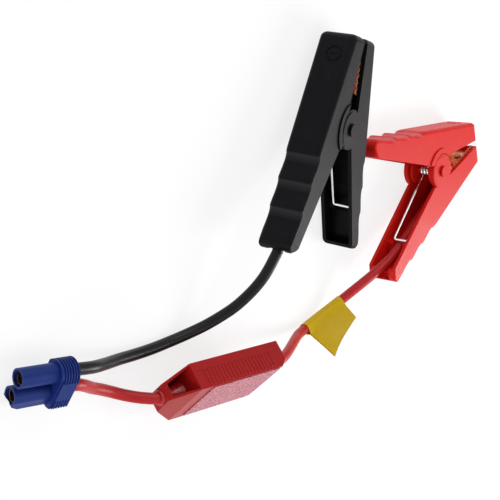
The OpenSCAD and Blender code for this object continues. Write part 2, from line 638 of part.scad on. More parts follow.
plug() plug_housing();
plug() plug_contact(-plug_reach);  // plug_contact_negative
plug() plug_contact(plug_reach);  // plug_contact_positive
lead(black_route, BLACK);  // black_lead
black_clamp() color(BLACK) lead_end(-grip_len);  // black_lead_end
black_clamp() color(COPPER) ferrule();  // black_ferrule
black_clamp() color(BLACK) pocket_arm(true);  // black_arm_fixed
black_clamp() color(BLACK) other_arm() ear_arm(false);  // black_arm_moving
black_clamp() color(BLACK) pivot_pin();  // black_pin
black_clamp() color(STEEL) torsion_spring();  // black_spring
black_clamp() color(COPPER) jaw_strip();  // black_jaw_fixed
black_clamp() color(COPPER) other_arm() jaw_strip();  // black_jaw_moving
black_clamp() color(STEEL) jaw_rivets();  // black_rivets_fixed
black_clamp() color(STEEL) other_arm() jaw_rivets();  // black_rivets_moving
lead(plug_side_route, RED);  // red_lead_plug_side
box() box_shell_front();
box() box_shell_back();
box() box_pad();
box() box_board();
box() box_diodes();
lead(clamp_side_route, RED);  // red_lead_clamp_side
cable_flag();
red_clamp() color(RED) other_arm() lead_end(red_lead_from);  // red_lead_end
red_clamp() color(COPPER) other_arm() ferrule();  // red_ferrule
red_clamp() color(RED) other_arm() ear_arm(true);  // red_arm_fixed
red_clamp() color(RED) pocket_arm(false);  // red_arm_moving
red_clamp() color(RED) pivot_pin();  // red_pin
red_clamp() color(STEEL) torsion_spring();  // red_spring
red_clamp() color(COPPER) other_arm() jaw_strip();  // red_jaw_fixed
red_clamp() color(COPPER) jaw_strip();  // red_jaw_moving
red_clamp() color(STEEL) other_arm() jaw_rivets();  // red_rivets_fixed
red_clamp() color(STEEL) jaw_rivets();  // red_rivets_moving
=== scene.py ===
"""Jump-starter lead set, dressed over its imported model: plug, leads, box, flag and two clamps."""
import logging
import math
from dataclasses import dataclass
from enum import Enum
from typing import Any, Sequence, Union

import bpy
from mathutils import Euler, Matrix, Vector


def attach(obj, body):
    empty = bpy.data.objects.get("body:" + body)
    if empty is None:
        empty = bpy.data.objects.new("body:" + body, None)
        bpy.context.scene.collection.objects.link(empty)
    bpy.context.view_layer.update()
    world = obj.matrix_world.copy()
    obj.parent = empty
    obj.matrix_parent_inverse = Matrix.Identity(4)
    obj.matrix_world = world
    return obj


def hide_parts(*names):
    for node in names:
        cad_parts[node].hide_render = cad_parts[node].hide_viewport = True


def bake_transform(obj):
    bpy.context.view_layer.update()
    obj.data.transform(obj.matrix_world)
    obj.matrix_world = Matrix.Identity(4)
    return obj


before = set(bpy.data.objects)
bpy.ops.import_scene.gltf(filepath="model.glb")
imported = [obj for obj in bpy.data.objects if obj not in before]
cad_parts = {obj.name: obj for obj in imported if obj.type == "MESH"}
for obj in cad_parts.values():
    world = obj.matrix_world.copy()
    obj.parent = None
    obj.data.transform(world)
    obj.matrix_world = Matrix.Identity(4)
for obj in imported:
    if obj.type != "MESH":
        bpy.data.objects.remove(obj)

LOG = logging.getLogger("lead_set")
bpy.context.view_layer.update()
MM = 0.001
ROOT = "leads_and_fixed_arms"
PLASTIC_IOR = 1.5
CABLE_STEPS = 6                                            # steps between two points of a route
EASED_MARGIN = 8.0                                         # extra degrees smoothed after easing
QUARTER = [math.radians(a) for a in range(0, 91, 15)]      # a quarter turn, step by step

Colour = tuple[float, float, float]
Point = Sequence[float]
Stops = Sequence[tuple[float, float]]


# ---------------------------------------------------------------- shader maths

class Socket:
    """A shader value on which Python's arithmetic adds Math nodes."""

    def __init__(self, graph: "Graph", output: bpy.types.NodeSocket) -> None:
        """Keep the graph and the node output that carries the value."""
        self.graph = graph
        self.output = output

    def _math(self, operation: str, left: "Value", right: "Value") -> "Socket":
        """Add one Math node and return its result."""
        return self.graph.node("ShaderNodeMath", {"operation": operation}, {0: left, 1: right})

    def __add__(self, other: "Value") -> "Socket":
        """Return self + other."""
        return self._math("ADD", self, other)

    __radd__ = __add__

    def __mul__(self, other: "Value") -> "Socket":
        """Return self * other."""
        return self._math("MULTIPLY", self, other)

    def __sub__(self, other: "Value") -> "Socket":
        """Return self - other."""
        return self._math("SUBTRACT", self, other)

    def __rsub__(self, other: "Value") -> "Socket":
        """Return other - self."""
        return self._math("SUBTRACT", other, self)

    def __truediv__(self, other: "Value") -> "Socket":
        """Return self / other."""
        return self._math("DIVIDE", self, other)

    def above(self, limit: float) -> "Socket":
        """Return 1 where the value is greater than limit, else 0."""
        return self._math("GREATER_THAN", self, limit)

    def size(self) -> "Socket":
        """Return the value without its sign."""
        return self._math("ABSOLUTE", self, 0.0)

    def whole(self) -> "Socket":
        """Return the whole part of the value."""
        return self._math("FLOOR", self, 0.0)

    def either(self, other: "Value") -> "Socket":
        """Return the greater of self and other."""
        return self._math("MAXIMUM", self, other)


Value = Union[Socket, float, Sequence[float]]


class Graph:
    """The node tree of one material or world."""

    def __init__(self, owner: bpy.types.Material | bpy.types.World) -> None:
        """Empty the owner's tree, ready for new nodes."""
        owner.use_nodes = True
        self.tree = owner.node_tree
        self.tree.nodes.clear()

    def node(self, kind: str, settings: dict[str, Any] | None = None,
             inputs: dict[Any, Value] | None = None, output: int | str = 0) -> Socket:
        """Add a node, set it up, and fill or link its inputs.

        Args:
            kind: Blender's name of the node type.
            settings: Properties of the node, set first; "stops" fills a colour ramp.
            inputs: Values or links, by the socket's name or number.
            output: The output that is handed back.

        Returns:
            The chosen output.
        """
        made = self.tree.nodes.new(kind)
        for key, value in (settings or {}).items():
            if key == "stops":
                self._fill_ramp(made.color_ramp, value)
            else:
                setattr(made, key, value)
        for key, value in (inputs or {}).items():
            if isinstance(value, Socket):
                self.tree.links.new(value.output, made.inputs[key])
            else:
                made.inputs[key].default_value = value
        return Socket(self, made.outputs[output])

    @staticmethod
    def _fill_ramp(ramp: bpy.types.ColorRamp, stops: Stops) -> None:
        """Give a colour ramp grey stops.

        Args:
            ramp: The node's ramp.
            stops: Position and level of each stop.
        """
        while len(ramp.elements) < len(stops):
            ramp.elements.new(0.5)
        for element, (position, level) in zip(ramp.elements, stops):
            element.position = position
            element.color = (level, level, level, 1)

    def place(self, stretch: Point = (1, 1, 1), turn: Point = (0, 0, 0)) -> Socket:
        """Return the place on the piece, in metres, turned and stretched."""
        coordinates = self.node("ShaderNodeTexCoord", output="Object")
        return self.node("ShaderNodeMapping", {},
                         {"Vector": coordinates, "Scale": stretch, "Rotation": turn})

    def noise(self, place: Socket, scale: float, detail: float = 2.0) -> Socket:
        """Return smooth noise about 0.5, with scale features in a metre."""
        return self.node("ShaderNodeTexNoise", {},
                         {"Vector": place, "Scale": scale, "Detail": detail})

    def ramp(self, value: Socket, *stops: tuple[float, float]) -> Socket:
        """Return value taken through grey stops."""
        return self.node("ShaderNodeValToRGB", {"stops": stops}, {"Fac": value})

    def mix(self, first: Value, second: Value, factor: Value) -> Socket:
        """Return a colour between two.

        Args:
            first: Colour where the factor is 0.
            second: Colour where the factor is 1.
            factor: Share of the second.

        Returns:
            The mixed colour.
        """
        ends = [(*c, 1.0) if not isinstance(c, Socket) and len(c) == 3 else c
                for c in (first, second)]
        return self.node("ShaderNodeMix", {"data_type": "RGBA"},
                         {0: factor, 6: ends[0], 7: ends[1]}, 2)

    def bump(self, height: Socket, distance: float, under: Socket | None = None) -> Socket:
        """Return a normal that follows a relief.

        Args:
            height: The relief, from 0 to 1.
            distance: Its height in metres.
            under: Another normal that it lies on.

        Returns:
            The bumped normal.
        """
        inputs: dict[Any, Value] = {"Height": height, "Distance": distance, "Strength": 1.0}
        if under is not None:
            inputs["Normal"] = under
        return self.node("ShaderNodeBump", {}, inputs)

    def seen(self) -> Socket:
        """Return 1 for rays of the camera, of reflections and of clear parts, else 0."""
        camera, glossy, clear = (self.node("ShaderNodeLightPath", output=ray) for ray in (
            "Is Camera Ray", "Is Glossy Ray", "Is Transmission Ray"))
        return camera.either(glossy).either(clear)

    def close(self, shader: Socket, end: str = "ShaderNodeOutputMaterial") -> None:
        """Link the shader to the surface of the tree's output."""
        output = self.tree.nodes.new(end)
        self.tree.links.new(shader.output, output.inputs["Surface"])


# ---------------------------------------------------------------- shared sizes

@dataclass(frozen=True)
class ArmLine:
    """Sizes of a clamp's arm that its mesh and its finish share, in mm."""

    tip_len: float = 46.0
    grip_len: float = 64.0
    tip_back: float = 13.0
    end_back: float = 46.0
    grip_start: float = 15.0
    grip_pitch: float = 13.5
    grip_count: int = 3

    @property
    def whole(self) -> float:
        """Length from tip to grip end."""
        return self.tip_len + self.grip_len

    @property
    def rise(self) -> float:
        """How much the back rises in a mm towards the grip end."""
        return (self.end_back - self.tip_back) / self.whole

    def back_y(self, x: float) -> float:
        """Return the height of the upper arm's back at x."""
        return self.end_back - (self.end_back - self.tip_back) * (x + self.grip_len) / self.whole


ARM = ArmLine()
BLACK_LIES = ((-57.0, -3.9, 13.944), (9.8, 2.351, -169.5))      # place in mm, turn in degrees
RED_LIES = ((-63.4, 110.4, 12.506), (-6.5, 1.373, 128.3))


# -------------------------------------------------------------------- finishes

@dataclass(frozen=True)
class Finish:
    """A finish: its name, the record's slot that it fills, its colour, roughness and gloss.

    In every finish a noise scale counts features in a metre, and a relief is in metres.
    """

    name: str
    slot: str
    colour: Colour
    roughness: float
    gloss: float = 0.5

    def fixed(self) -> dict[str, Value]:
        """Return the shader's inputs that are the same all over."""
        return {"IOR": PLASTIC_IOR, "Specular IOR Level": self.gloss}

    def varied(self, graph: Graph) -> dict[str, Value]:
        """Return the shader's inputs that change over the surface."""
        return {"Base Color": (*self.colour, 1.0), "Roughness": self.roughness}

    def material(self) -> bpy.types.Material:
        """Make the finish's material once.

        Returns:
            The material, the same at every call.
        """
        known = bpy.data.materials.get(self.name)
        if known is not None:
            return known
        material = bpy.data.materials.new(self.name)
        graph = Graph(material)
        inputs = {**self.fixed(), **self.varied(graph)}
        graph.close(graph.node("ShaderNodeBsdfPrincipled", {}, inputs, "BSDF"))
        material.diffuse_color = (*self.colour, 1.0)
        return material

    def on(self, piece: bpy.types.Object) -> None:
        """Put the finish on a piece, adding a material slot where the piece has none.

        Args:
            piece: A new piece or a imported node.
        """
        material = self.material()
        if not piece.material_slots:
            piece.data.materials.append(material)
        for place in piece.material_slots:
            place.material = material


@dataclass(frozen=True)
class Moulding(Finish):
    """Injection-moulded plastic: spark-eroded grain, faint flow marks and rubbed patches."""

    grain: float = 2600.0
    depth: float = 0.00003
    flow: float = 42.0
    flow_stretch: Point = (1, 1, 0.35)
    wear: float = 150.0
    worn_stops: Stops = ((0.56, 0.0), (0.78, 1.0))
    rubbed: Colour = (0.5, 0.5, 0.5)
    rub: float = 0.25
    coat: float = 0.0
    coat_roughness: float = 0.22

    def fixed(self) -> dict[str, Value]:
        """Return the uniform inputs, with a moulded skin's coat."""
        coat = {"Coat Weight": self.coat, "Coat Roughness": self.coat_roughness}
        return {**super().fixed(), **coat}

    def varied(self, graph: Graph) -> dict[str, Value]:
        """Make colour, roughness and grain.

        Args:
            graph: The material's tree.

        Returns:
            The inputs by name.
        """
        place = graph.place()
        fine = graph.noise(place, self.grain, 2.5)
        flow = graph.noise(graph.place(self.flow_stretch), self.flow, 3.0)
        worn = graph.ramp(graph.noise(place, self.wear, 6.0), *self.worn_stops)
        pale = worn * (self.rub * 0.35) + (flow - 0.42) * (self.rub * 0.2)
        rough = self.roughness + (flow - 0.5) * 0.18 + (fine - 0.5) * 0.1 + worn * -0.06
        return {"Base Color": graph.mix(self.colour, self.rubbed, pale), "Roughness": rough,
                "Normal": graph.bump(fine, self.depth)}


@dataclass(frozen=True)
class GripMoulding(Moulding):
    """Moulded plastic with a painted highlight on the slope behind each finger ridge; it knows
    where its clamp lies.
    """

    at: Point = (0, 0, 0)
    turn: Point = (0, 0, 0)
    arm: ArmLine = ARM
    # colour of the painted highlight behind each finger ridge
    ridge: Colour = (0.03, 0.03, 0.034)
    ridge_stops: Stops = ((0.0, 0.0), (0.08, 1.0), (0.18, 0.7), (0.4, 0.0))
    back_fade: float = 8.0
    back_stops: Stops = ((0.05, 0.0), (0.2, 1.0))

    def varied(self, graph: Graph) -> dict[str, Value]:
        """Make the moulding's inputs, with a painted highlight on the slope behind each ridge.

        Args:
            graph: The material's tree.

        Returns:
            The inputs by name.
        """
        inputs = super().varied(graph)
        place = graph.node("ShaderNodeMapping", {"vector_type": "TEXTURE"}, {
            "Vector": graph.node("ShaderNodeTexCoord", output="Object"),
            "Location": [c * MM for c in self.at],
            "Rotation": [math.radians(a) for a in self.turn]})
        x = graph.node("ShaderNodeSeparateXYZ", {}, {0: place}, "X")
        y = graph.node("ShaderNodeSeparateXYZ", {}, {0: place}, "Y").size()
        step = (x + self.arm.grip_start * MM) / (-self.arm.grip_pitch * MM)
        slope = graph.ramp(step - step.whole(), *self.ridge_stops)
        over = y - (self.arm.back_y(0) * MM - x * self.arm.rise)
        on_back = graph.ramp(over / (self.back_fade * MM) + 0.5, *self.back_stops)
        # painted highlight: the back is tinted paler on the slope behind each ridge, where light
        # would catch it
        mask = slope * step.above(0.0) * (1.0 - step.above(self.arm.grip_count)) * on_back
        inputs["Base Color"] = graph.mix(inputs["Base Color"], self.ridge, mask)
        return inputs


@dataclass(frozen=True)
class Jacket(Finish):
    """Flexible cable jacket: satin skin, faint drawing lines, strands showing softly through."""

    sheen: Colour = (0.5, 0.5, 0.5)
    skin: float = 1400.0
    strand: float = 260.0
    dust: float = 95.0
    dust_stops: Stops = ((0.5, 0.0), (0.8, 1.0))
    skin_relief: float = 0.000012
    strand_relief: float = 0.00004

    def varied(self, graph: Graph) -> dict[str, Value]:
        """Make colour, roughness and the skin's relief.

        Args:
            graph: The material's tree.

        Returns:
            The inputs by name.
        """
        place = graph.place()
        skin = graph.noise(place, self.skin, 3.0)
        strands = graph.noise(place, self.strand, 2.0)
        dust = graph.ramp(graph.noise(place, self.dust, 5.0), *self.dust_stops)
        tint = graph.mix(self.colour, self.sheen, dust * 0.08 + (skin - 0.4) * 0.05)
        rough = self.roughness + (strands - 0.5) * 0.1 + dust * 0.08
        relief = graph.bump(skin, self.skin_relief, graph.bump(strands, self.strand_relief))
        return {"Base Color": tint, "Roughness": rough, "Normal": relief}


@dataclass(frozen=True)
class Plated(Finish):
    """Plated or bright metal: rolling marks, small scratches and duller, darker patches."""

    dulled: Colour = (0.4, 0.2, 0.1)
    dull: float = 0.5
    grain: float = 0.00002
    rolling: float = 420.0
    rolling_stretch: Point = (1, 14, 6)
    patch: float = 240.0
    patch_stops: Stops = ((0.42, 0.0), (0.72, 1.0))

    def varied(self, graph: Graph) -> dict[str, Value]:
        """Make colour, roughness, metal and scratches.

        Args:
            graph: The material's tree.

        Returns:
            The inputs by name.
        """
        rolled = graph.noise(graph.place(self.rolling_stretch), self.rolling, 4.0)
        patches = graph.ramp(graph.noise(graph.place(), self.patch, 5.0), *self.patch_stops)
        tint = graph.mix(self.colour, self.dulled, patches * self.dull)
        rough = self.roughness + patches * 0.14 + (rolled - 0.5) * 0.12
        return {"Base Color": tint, "Roughness": rough, "Metallic": 1.0 - patches * 0.08,
                "Normal": graph.bump(rolled, self.grain)}


@dataclass(frozen=True)
class Stippled(Finish):
    """Deeply stippled pad: small raised cells, with a painted highlight on their tops mixed with
    random mottling.
    """

    tops: Colour = (0.9, 0.6, 0.65)
    cell: float = 1500.0
    mottle: float = 900.0
    top_stops: Stops = ((0.30, 0.0), (0.85, 1.0))
    relief: float = 0.0001

    def varied(self, graph: Graph) -> dict[str, Value]:
        """Make mottled colour with painted highlights on the cell tops, roughness and cells.

        Args:
            graph: The material's tree.

        Returns:
            The inputs by name.
        """
        place = graph.place()
        cells = graph.node("ShaderNodeTexVoronoi", {"feature": "SMOOTH_F1"},
                           {"Vector": place, "Scale": self.cell, "Smoothness": 0.6}, "Distance")
        mottle = graph.noise(place, self.mottle, 4.0)
        # painted highlight: the cell tops, with some random mottling, are tinted paler
        tops = graph.ramp(1.0 - cells + (mottle - 0.5) * 1.1, *self.top_stops)
        return {"Base Color": graph.mix(self.colour, self.tops, tops),
                "Roughness": self.roughness + tops * 0.1,
                "Normal": graph.bump(tops + mottle * 0.4, self.relief)}


@dataclass(frozen=True)
class Vinyl(Finish):
    """Self-adhesive vinyl sheet: smooth film with soft waves, small creases and scuffs."""

    faded: Colour = (0.9, 0.8, 0.4)
    wave: float = 110.0
    crease: float = 240.0
    crease_stretch: Point = (1, 5, 1)
    crease_turn: Point = (0.3, 0.8, 0.2)
    scuff: float = 620.0
    scuff_stops: Stops = ((0.6, 0.0), (0.82, 1.0))
    crease_relief: float = 0.00008
    wave_relief: float = 0.0006

    def varied(self, graph: Graph) -> dict[str, Value]:
        """Make colour, roughness and waves.

        Args:
            graph: The material's tree.

        Returns:
            The inputs by name.
        """
        place = graph.place()
        waves = graph.noise(place, self.wave, 2.0)
        creased = graph.place(self.crease_stretch, self.crease_turn)
        crease = graph.noise(creased, self.crease, 4.0)
        scuffs = graph.ramp(graph.noise(place, self.scuff, 6.0), *self.scuff_stops)
        tint = graph.mix(self.colour, self.faded, scuffs * 0.5 + (waves - 0.4) * 0.3)
        rough = self.roughness + scuffs * 0.25 + (crease - 0.5) * 0.15
        relief = graph.bump(crease, self.crease_relief, graph.bump(waves, self.wave_relief))
        return {"Base Color": tint, "Roughness": rough, "Normal": relief}


@dataclass(frozen=True)
class Laminate(Finish):
    """Circuit-board laminate: woven glass under a green mask."""

    mask: Colour = (0.10, 0.38, 0.18)
    weave: float = 700.0
    relief: float = 0.00002

    def varied(self, graph: Graph) -> dict[str, Value]:
        """Make the weave's colour and relief.

        Args:
            graph: The material's tree.

        Returns:
            The inputs by name.
        """
        weave = graph.node("ShaderNodeTexWave", {"wave_type": "BANDS"},
                           {"Vector": graph.place(), "Scale": self.weave, "Distortion": 1.2}, "Fac")
        return {"Base Color": graph.mix(self.colour, self.mask, weave * 0.4),
                "Roughness": self.roughness + weave * 0.1,
                "Normal": graph.bump(weave, self.relief)}


@dataclass(frozen=True)
class PaleFloor(Finish):
    """Matte white sweep, which shows the camera a white ground with a faint shadow."""

    tooth: Colour = (0.93, 0.93, 0.93)
    tooth_scale: float = 700.0
    shown: Colour = (0.24, 0.24, 0.24)
    lift: float = 0.79

    def fixed(self) -> dict[str, Value]:
        """Return the uniform inputs, with the sweep's own light."""
        return {**super().fixed(), "Emission Strength": 1.0}

    def varied(self, graph: Graph) -> dict[str, Value]:
        """Make colour and light, which differ for what the camera sees.

        Args:
            graph: The material's tree.

        Returns:
            The inputs by name.
        """
        seen = graph.seen()
        tooth = graph.noise(graph.place(), self.tooth_scale, 3.0)
        plain = graph.mix(self.colour, self.tooth, tooth)
        return {"Base Color": graph.mix(plain, self.shown, seen), "Roughness": self.roughness,
                "Emission Color": graph.mix((0.0, 0.0, 0.0), (1.0, 1.0, 1.0), seen * self.lift)}


# Both clamp mouldings paint a highlight behind their finger ridges: the black one in the default
# dark grey, the red one in pink.
BLACK_PLASTIC = GripMoulding(
    "black_moulding", "black_plastic", (0.004, 0.004, 0.0055), 0.42, gloss=0.10,
    rubbed=(0.024, 0.024, 0.028), rub=0.4, at=BLACK_LIES[0], turn=BLACK_LIES[1])
RED_PLASTIC = GripMoulding(
    "red_moulding", "red_plastic", (0.76, 0.014, 0.010), 0.40, gloss=0.14,
    rubbed=(0.84, 0.09, 0.09), ridge=(0.86, 0.17, 0.19), at=RED_LIES[0], turn=RED_LIES[1])
BLUE_PLASTIC = Moulding("blue_moulding", "blue_plastic", (0.009, 0.030, 0.20), 0.42, gloss=0.16,
                        rubbed=(0.04, 0.08, 0.30), rub=0.3)
BOX_PLASTIC = Moulding("box_moulding", "box_red", (0.44, 0.010, 0.011), 0.34, gloss=0.16,
                       rubbed=(0.62, 0.06, 0.06), rub=0.3)
RELIEF_PLASTIC = Moulding("relief_moulding", "box_red", (0.50, 0.012, 0.014), 0.30,
                          rubbed=(0.70, 0.10, 0.10), rub=0.3, coat=0.4)
DIODE = Moulding("diode_moulding", "diode_black", (0.02, 0.02, 0.022), 0.5, grain=1800.0)
BLACK_JACKET = Jacket("black_cable_jacket", "black_jacket", (0.005, 0.005, 0.0065), 0.34,
                      gloss=0.22, sheen=(0.05, 0.05, 0.055))
RED_JACKET = Jacket("red_cable_jacket", "red_jacket", (0.56, 0.017, 0.020), 0.36,
                    gloss=0.26, sheen=(0.74, 0.14, 0.14))
COPPER = Plated("copper_plate", "copper", (0.95, 0.43, 0.23), 0.24, dulled=(0.56, 0.16, 0.07))
# The contacts' gold turns nearly black over most of its patches: painted shade for the deep bores,
# not tarnish.
GOLD = Plated("tarnished_gold", "gold", (0.42, 0.27, 0.10), 0.30,
              dulled=(0.02, 0.012, 0.007), dull=0.97)
SPRING_WIRE = Plated("spring_wire", "spring_steel", (0.90, 0.91, 0.92), 0.14,
                     dulled=(0.62, 0.63, 0.65), dull=0.2, grain=0.000003)
RIVET_METAL = Plated("rivet_metal", "rivet_steel", (0.86, 0.46, 0.27), 0.30,
                     dulled=(0.42, 0.20, 0.12), dull=0.6)
# The pale pink of the cell tops is a painted highlight.
PAD = Stippled("stippled_pad", "pad_pink", (0.46, 0.10, 0.13), 0.55, gloss=0.25,
               tops=(0.80, 0.44, 0.51))
FLAG_VINYL = Vinyl("yellow_vinyl", "flag_yellow", (0.74, 0.49, 0.006), 0.36, gloss=0.2,
                   faded=(0.92, 0.72, 0.06))
BOARD = Laminate("board_laminate", "board_green", (0.03, 0.18, 0.07), 0.4)
FLOOR = PaleFloor("pale_sweep", "", (0.88, 0.88, 0.88), 0.7, gloss=0.05)


# ------------------------------------------------------------- bench operators

class Join(Enum):
    """What a Boolean modifier does with its tool."""

    CUT = "DIFFERENCE"
    KEEP = "INTERSECT"
    ADD = "UNION"


def deselect() -> None:
    """Leave nothing selected."""
    bpy.ops.object.select_all(action="DESELECT")


def only(piece: bpy.types.Object) -> None:
    """Select one piece and make it the active one.

    Args:
        piece: The piece.
    """
    for other in bpy.context.selected_objects:
        other.select_set(False)
    piece.hide_viewport = False
    piece.select_set(True)
    bpy.context.view_layer.objects.active = piece


def settle(piece: bpy.types.Object) -> None:
    """Put a piece's place into its mesh."""
    only(piece)
    bpy.ops.object.transform_apply(location=True, rotation=True, scale=True)


def added(name: str) -> bpy.types.Object:
    """Name the piece that an operator has just added.

    Args:
        name: Its name.

    Returns:
        The piece.
    """
    piece = bpy.context.active_object
    piece.name = name
    piece.data.name = name
    return piece


def put(piece: bpy.types.Object, where: Matrix) -> bpy.types.Object:
    """Put a piece at a place, kept in its mesh.

    Args:
        piece: The piece.
        where: The place and turn, in metres.

    Returns:
        The same piece.
    """
    piece.matrix_world = where
    settle(piece)
    return piece


def block(name: str, size: Point, where: Matrix) -> bpy.types.Object:
    """Make a block.

    Args:
        name: Its name.
        size: Its sides in mm.
        where: The place and turn of its middle, in metres.

    Returns:
        The block.
    """
    deselect()
    bpy.ops.mesh.primitive_cube_add(size=1.0)
    made = added(name)
    made.scale = Vector(size) * MM
    settle(made)
    return put(made, where)


def sheet_of(name: str, rows: Sequence[Sequence[Vector]]) -> bpy.types.Object:
    """Make an open sheet.

    Args:
        name: Its name.
        rows: Its points row by row, in metres.

    Returns:
        The sheet.
    """
    deselect()
    bpy.ops.mesh.primitive_grid_add(x_subdivisions=len(rows[0]) - 1,
                                    y_subdivisions=len(rows) - 1, size=1.0)
    sheet = added(name)
    for spot, place in zip(sheet.data.vertices, (place for row in rows for place in row)):
        spot.co = place
    return sheet


def faced(piece: bpy.types.Object, along: Vector | None = None) -> None:
    """Turn a piece's faces outwards.

    Args:
        piece: The piece.
        along: The way in metres by which a sheet is extruded first.
    """
    only(piece)
    bpy.ops.object.mode_set(mode="EDIT")
    bpy.ops.mesh.select_all(action="SELECT")
    if along is not None:
        bpy.ops.mesh.extrude_region_move(TRANSFORM_OT_translate={"value": tuple(along)})
        bpy.ops.mesh.select_all(action="SELECT")
    bpy.ops.mesh.normals_make_consistent(inside=False)
    bpy.ops.object.mode_set(mode="OBJECT")


def with_modifier(piece: bpy.types.Object, kind: str, **settings: Any) -> None:
    """Add a modifier, set it and apply it.

    Args:
        piece: The piece.
        kind: Blender's name of the modifier.
        settings: Its properties.
    """
    only(piece)
    modifier = piece.modifiers.new(kind.lower(), kind)
    for key, value in settings.items():
        setattr(modifier, key, value)
    bpy.ops.object.modifier_apply(modifier=modifier.name)


def joined(piece: bpy.types.Object, tool: bpy.types.Object, how: Join) -> None:
    """Work a tool's shape into a piece and throw the tool away."""
    with_modifier(piece, "BOOLEAN", object=tool, operation=how.value, solver="EXACT")
    bpy.data.objects.remove(tool)


def smoothed(piece: bpy.types.Object, angle: float) -> None:
    """Smooth a piece except where it turns by more than an angle in degrees."""
    only(piece)
    bpy.ops.object.shade_smooth_by_angle(angle=math.radians(angle))


def evened(piece: bpy.types.Object, angle: float) -> None:
    """Smooth a piece, with large faces kept flat."""
    smoothed(piece, angle)
    with_modifier(piece, "WEIGHTED_NORMAL", keep_sharp=True, weight=60)


def eased(piece: bpy.types.Object, width: float, segments: int = 2, angle: float = 32.0) -> None:
    """Round a piece's sharp edges and smooth it.

    Args:
        piece: The piece.
        width: Width of the rounding in mm.
        segments: Steps across the rounding.
        angle: Edges that turn by more than this many degrees are rounded.
    """
    smoothed(piece, angle)
    with_modifier(piece, "BEVEL", width=width * MM, segments=segments, limit_method="ANGLE",
                  angle_limit=math.radians(angle), miter_outer="MITER_ARC", harden_normals=False)
    evened(piece, angle + EASED_MARGIN)


def copy_of(node: str, name: str) -> bpy.types.Object:
    """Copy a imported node's mesh as one clean closed shell.

    Args:
        node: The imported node.
        name: Name of the new piece.

    Returns:
        The new piece, with doubles merged and flat faces joined.
    """
    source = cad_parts[node]
    mesh = source.data.copy()
    mesh.name = name
    mesh.transform(source.matrix_world)
    mesh.materials.clear()
    piece = bpy.data.objects.new(name, mesh)
    bpy.context.scene.collection.objects.link(piece)
    only(piece)
    bpy.ops.object.mode_set(mode="EDIT")
    bpy.ops.mesh.select_all(action="SELECT")
    bpy.ops.mesh.remove_doubles(threshold=0.000004)
    bpy.ops.mesh.dissolve_limited(angle_limit=math.radians(1.2))
    bpy.ops.object.mode_set(mode="OBJECT")
    return piece


def curve_through(points: Sequence[Point], steps: int) -> list[Vector]:
    """Return a smooth path through points.

    Args:
        points: The points.
        steps: Steps between each two.

    Returns:
        The path's points, the first and last as given.
    """
    p = [Vector(q) for q in points]
    last = len(p) - 1
    path = []
    for i in range(last):
        a, b, c, d = p[max(i - 1, 0)], p[i], p[i + 1], p[min(i + 2, last)]
        for j in range(steps):
            t = j / steps
            path.append(b + ((c - a) * t + (2 * a - 5 * b + 4 * c - d) * t ** 2
                             + (3 * b - a - 3 * c + d) * t ** 3) / 2)
    return path + [p[last]]


def filleted(points: Sequence[Vector], radius: float, steps: int = 6) -> list[Vector]:
    """Bend a path's inner corners.

    Args:
        points: The path's corners.
        radius: Radius of the bends.
        steps: Steps round each bend.

    Returns:
        The bent path.
    """
    path = [points[0]]
    for a, b, c in zip(points, points[1:], points[2:]):
        u, v = (a - b).normalized(), (c - b).normalized()
        room = 0.49 * min((a - b).length, (c - b).length)
        reach = min(radius / math.tan(u.angle(v) / 2), room)
        start, end = b + u * reach, b + v * reach
        path += [start.lerp(b, t).lerp(b.lerp(end, t), t)
                 for t in (k / steps for k in range(steps + 1))]
    return path + [points[-1]]


def round_rod(name: str, path: Sequence[Vector], radius: float, sides: int = 4,
              swell: Sequence[float] = ()) -> bpy.types.Object:
    """Make a round rod or cord as a curve of one open spline.

    Args:
        name: Name of the piece.
        path: The middle line, in metres.
        radius: The rod's radius in mm.
        sides: A quarter of the steps round it.
        swell: For each point, how many times the radius it has, where that changes.

    Returns:
        The curve.
    """
    curve = bpy.data.curves.new(name, "CURVE")
    curve.dimensions = "3D"
    curve.bevel_depth = radius * MM
    curve.bevel_resolution = sides
    curve.use_fill_caps = True
    spline = curve.splines.new("POLY")
    spline.points.add(len(path) - 1)
    for spot, place in zip(spline.points, path):
        spot.co = (*place, 1.0)
    for spot, share in zip(spline.points, swell):
        spot.radius = share
    spline.use_smooth = True
    piece = bpy.data.objects.new(name, curve)
    bpy.context.scene.collection.objects.link(piece)
    return piece


def carry(piece: bpy.types.Object, finish: Finish, node: str, body: str = ROOT) -> None:
    """Dress a piece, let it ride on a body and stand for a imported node.

    Args:
        piece: The piece.
        finish: Its finish.
        node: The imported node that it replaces.
        body: The body that it moves with.
    """
    finish.on(piece)
    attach(piece, body)
    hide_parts(node)
    LOG.info("%s: %s, on %s", piece.name, finish.name, body)


@dataclass
class Placed:
    """A sub-assembly with a frame of its own: its place in mm and its turn in degrees."""

    at: Point
    turn: Point

    @property
    def frame(self) -> Matrix:
        """The sub-assembly's own frame in the model, in metres."""
        turn = Euler([math.radians(a) for a in self.turn], "XYZ").to_matrix().to_4x4()
        return Matrix.Translation(Vector(self.at) * MM) @ turn

    def place(self, *point: float) -> Vector:
        """Return a point of the own frame, given in mm, in the model."""
        return self.frame @ (Vector(point) * MM)

    def run(self, *way: float) -> Vector:
        """Return a way of the own frame, given in mm, in the model."""
        return self.frame.to_3x3() @ (Vector(way) * MM)

    def seat(self, *point: float) -> Matrix:
        """Return the own frame moved to a point of it, given in mm."""
        return self.frame @ Matrix.Translation(Vector(point) * MM)


# ------------------------------------------------------------------ the studio

@dataclass(frozen=True)
class Lamp:
    """A soft square lamp that looks at the origin, in metres and watts."""

    name: str
    at: Point
    size: float
    power: float

    def hang(self) -> None:
        """Hang the lamp."""
        lamp = bpy.data.lights.new(self.name, "AREA")
        lamp.shape = "SQUARE"
        lamp.size = self.size
        lamp.energy = self.power
        hung = bpy.data.objects.new(self.name, lamp)
        bpy.context.scene.collection.objects.link(hung)
        hung.location = self.at
        hung.rotation_euler = (-Vector(self.at)).to_track_quat("-Z", "Y").to_euler()


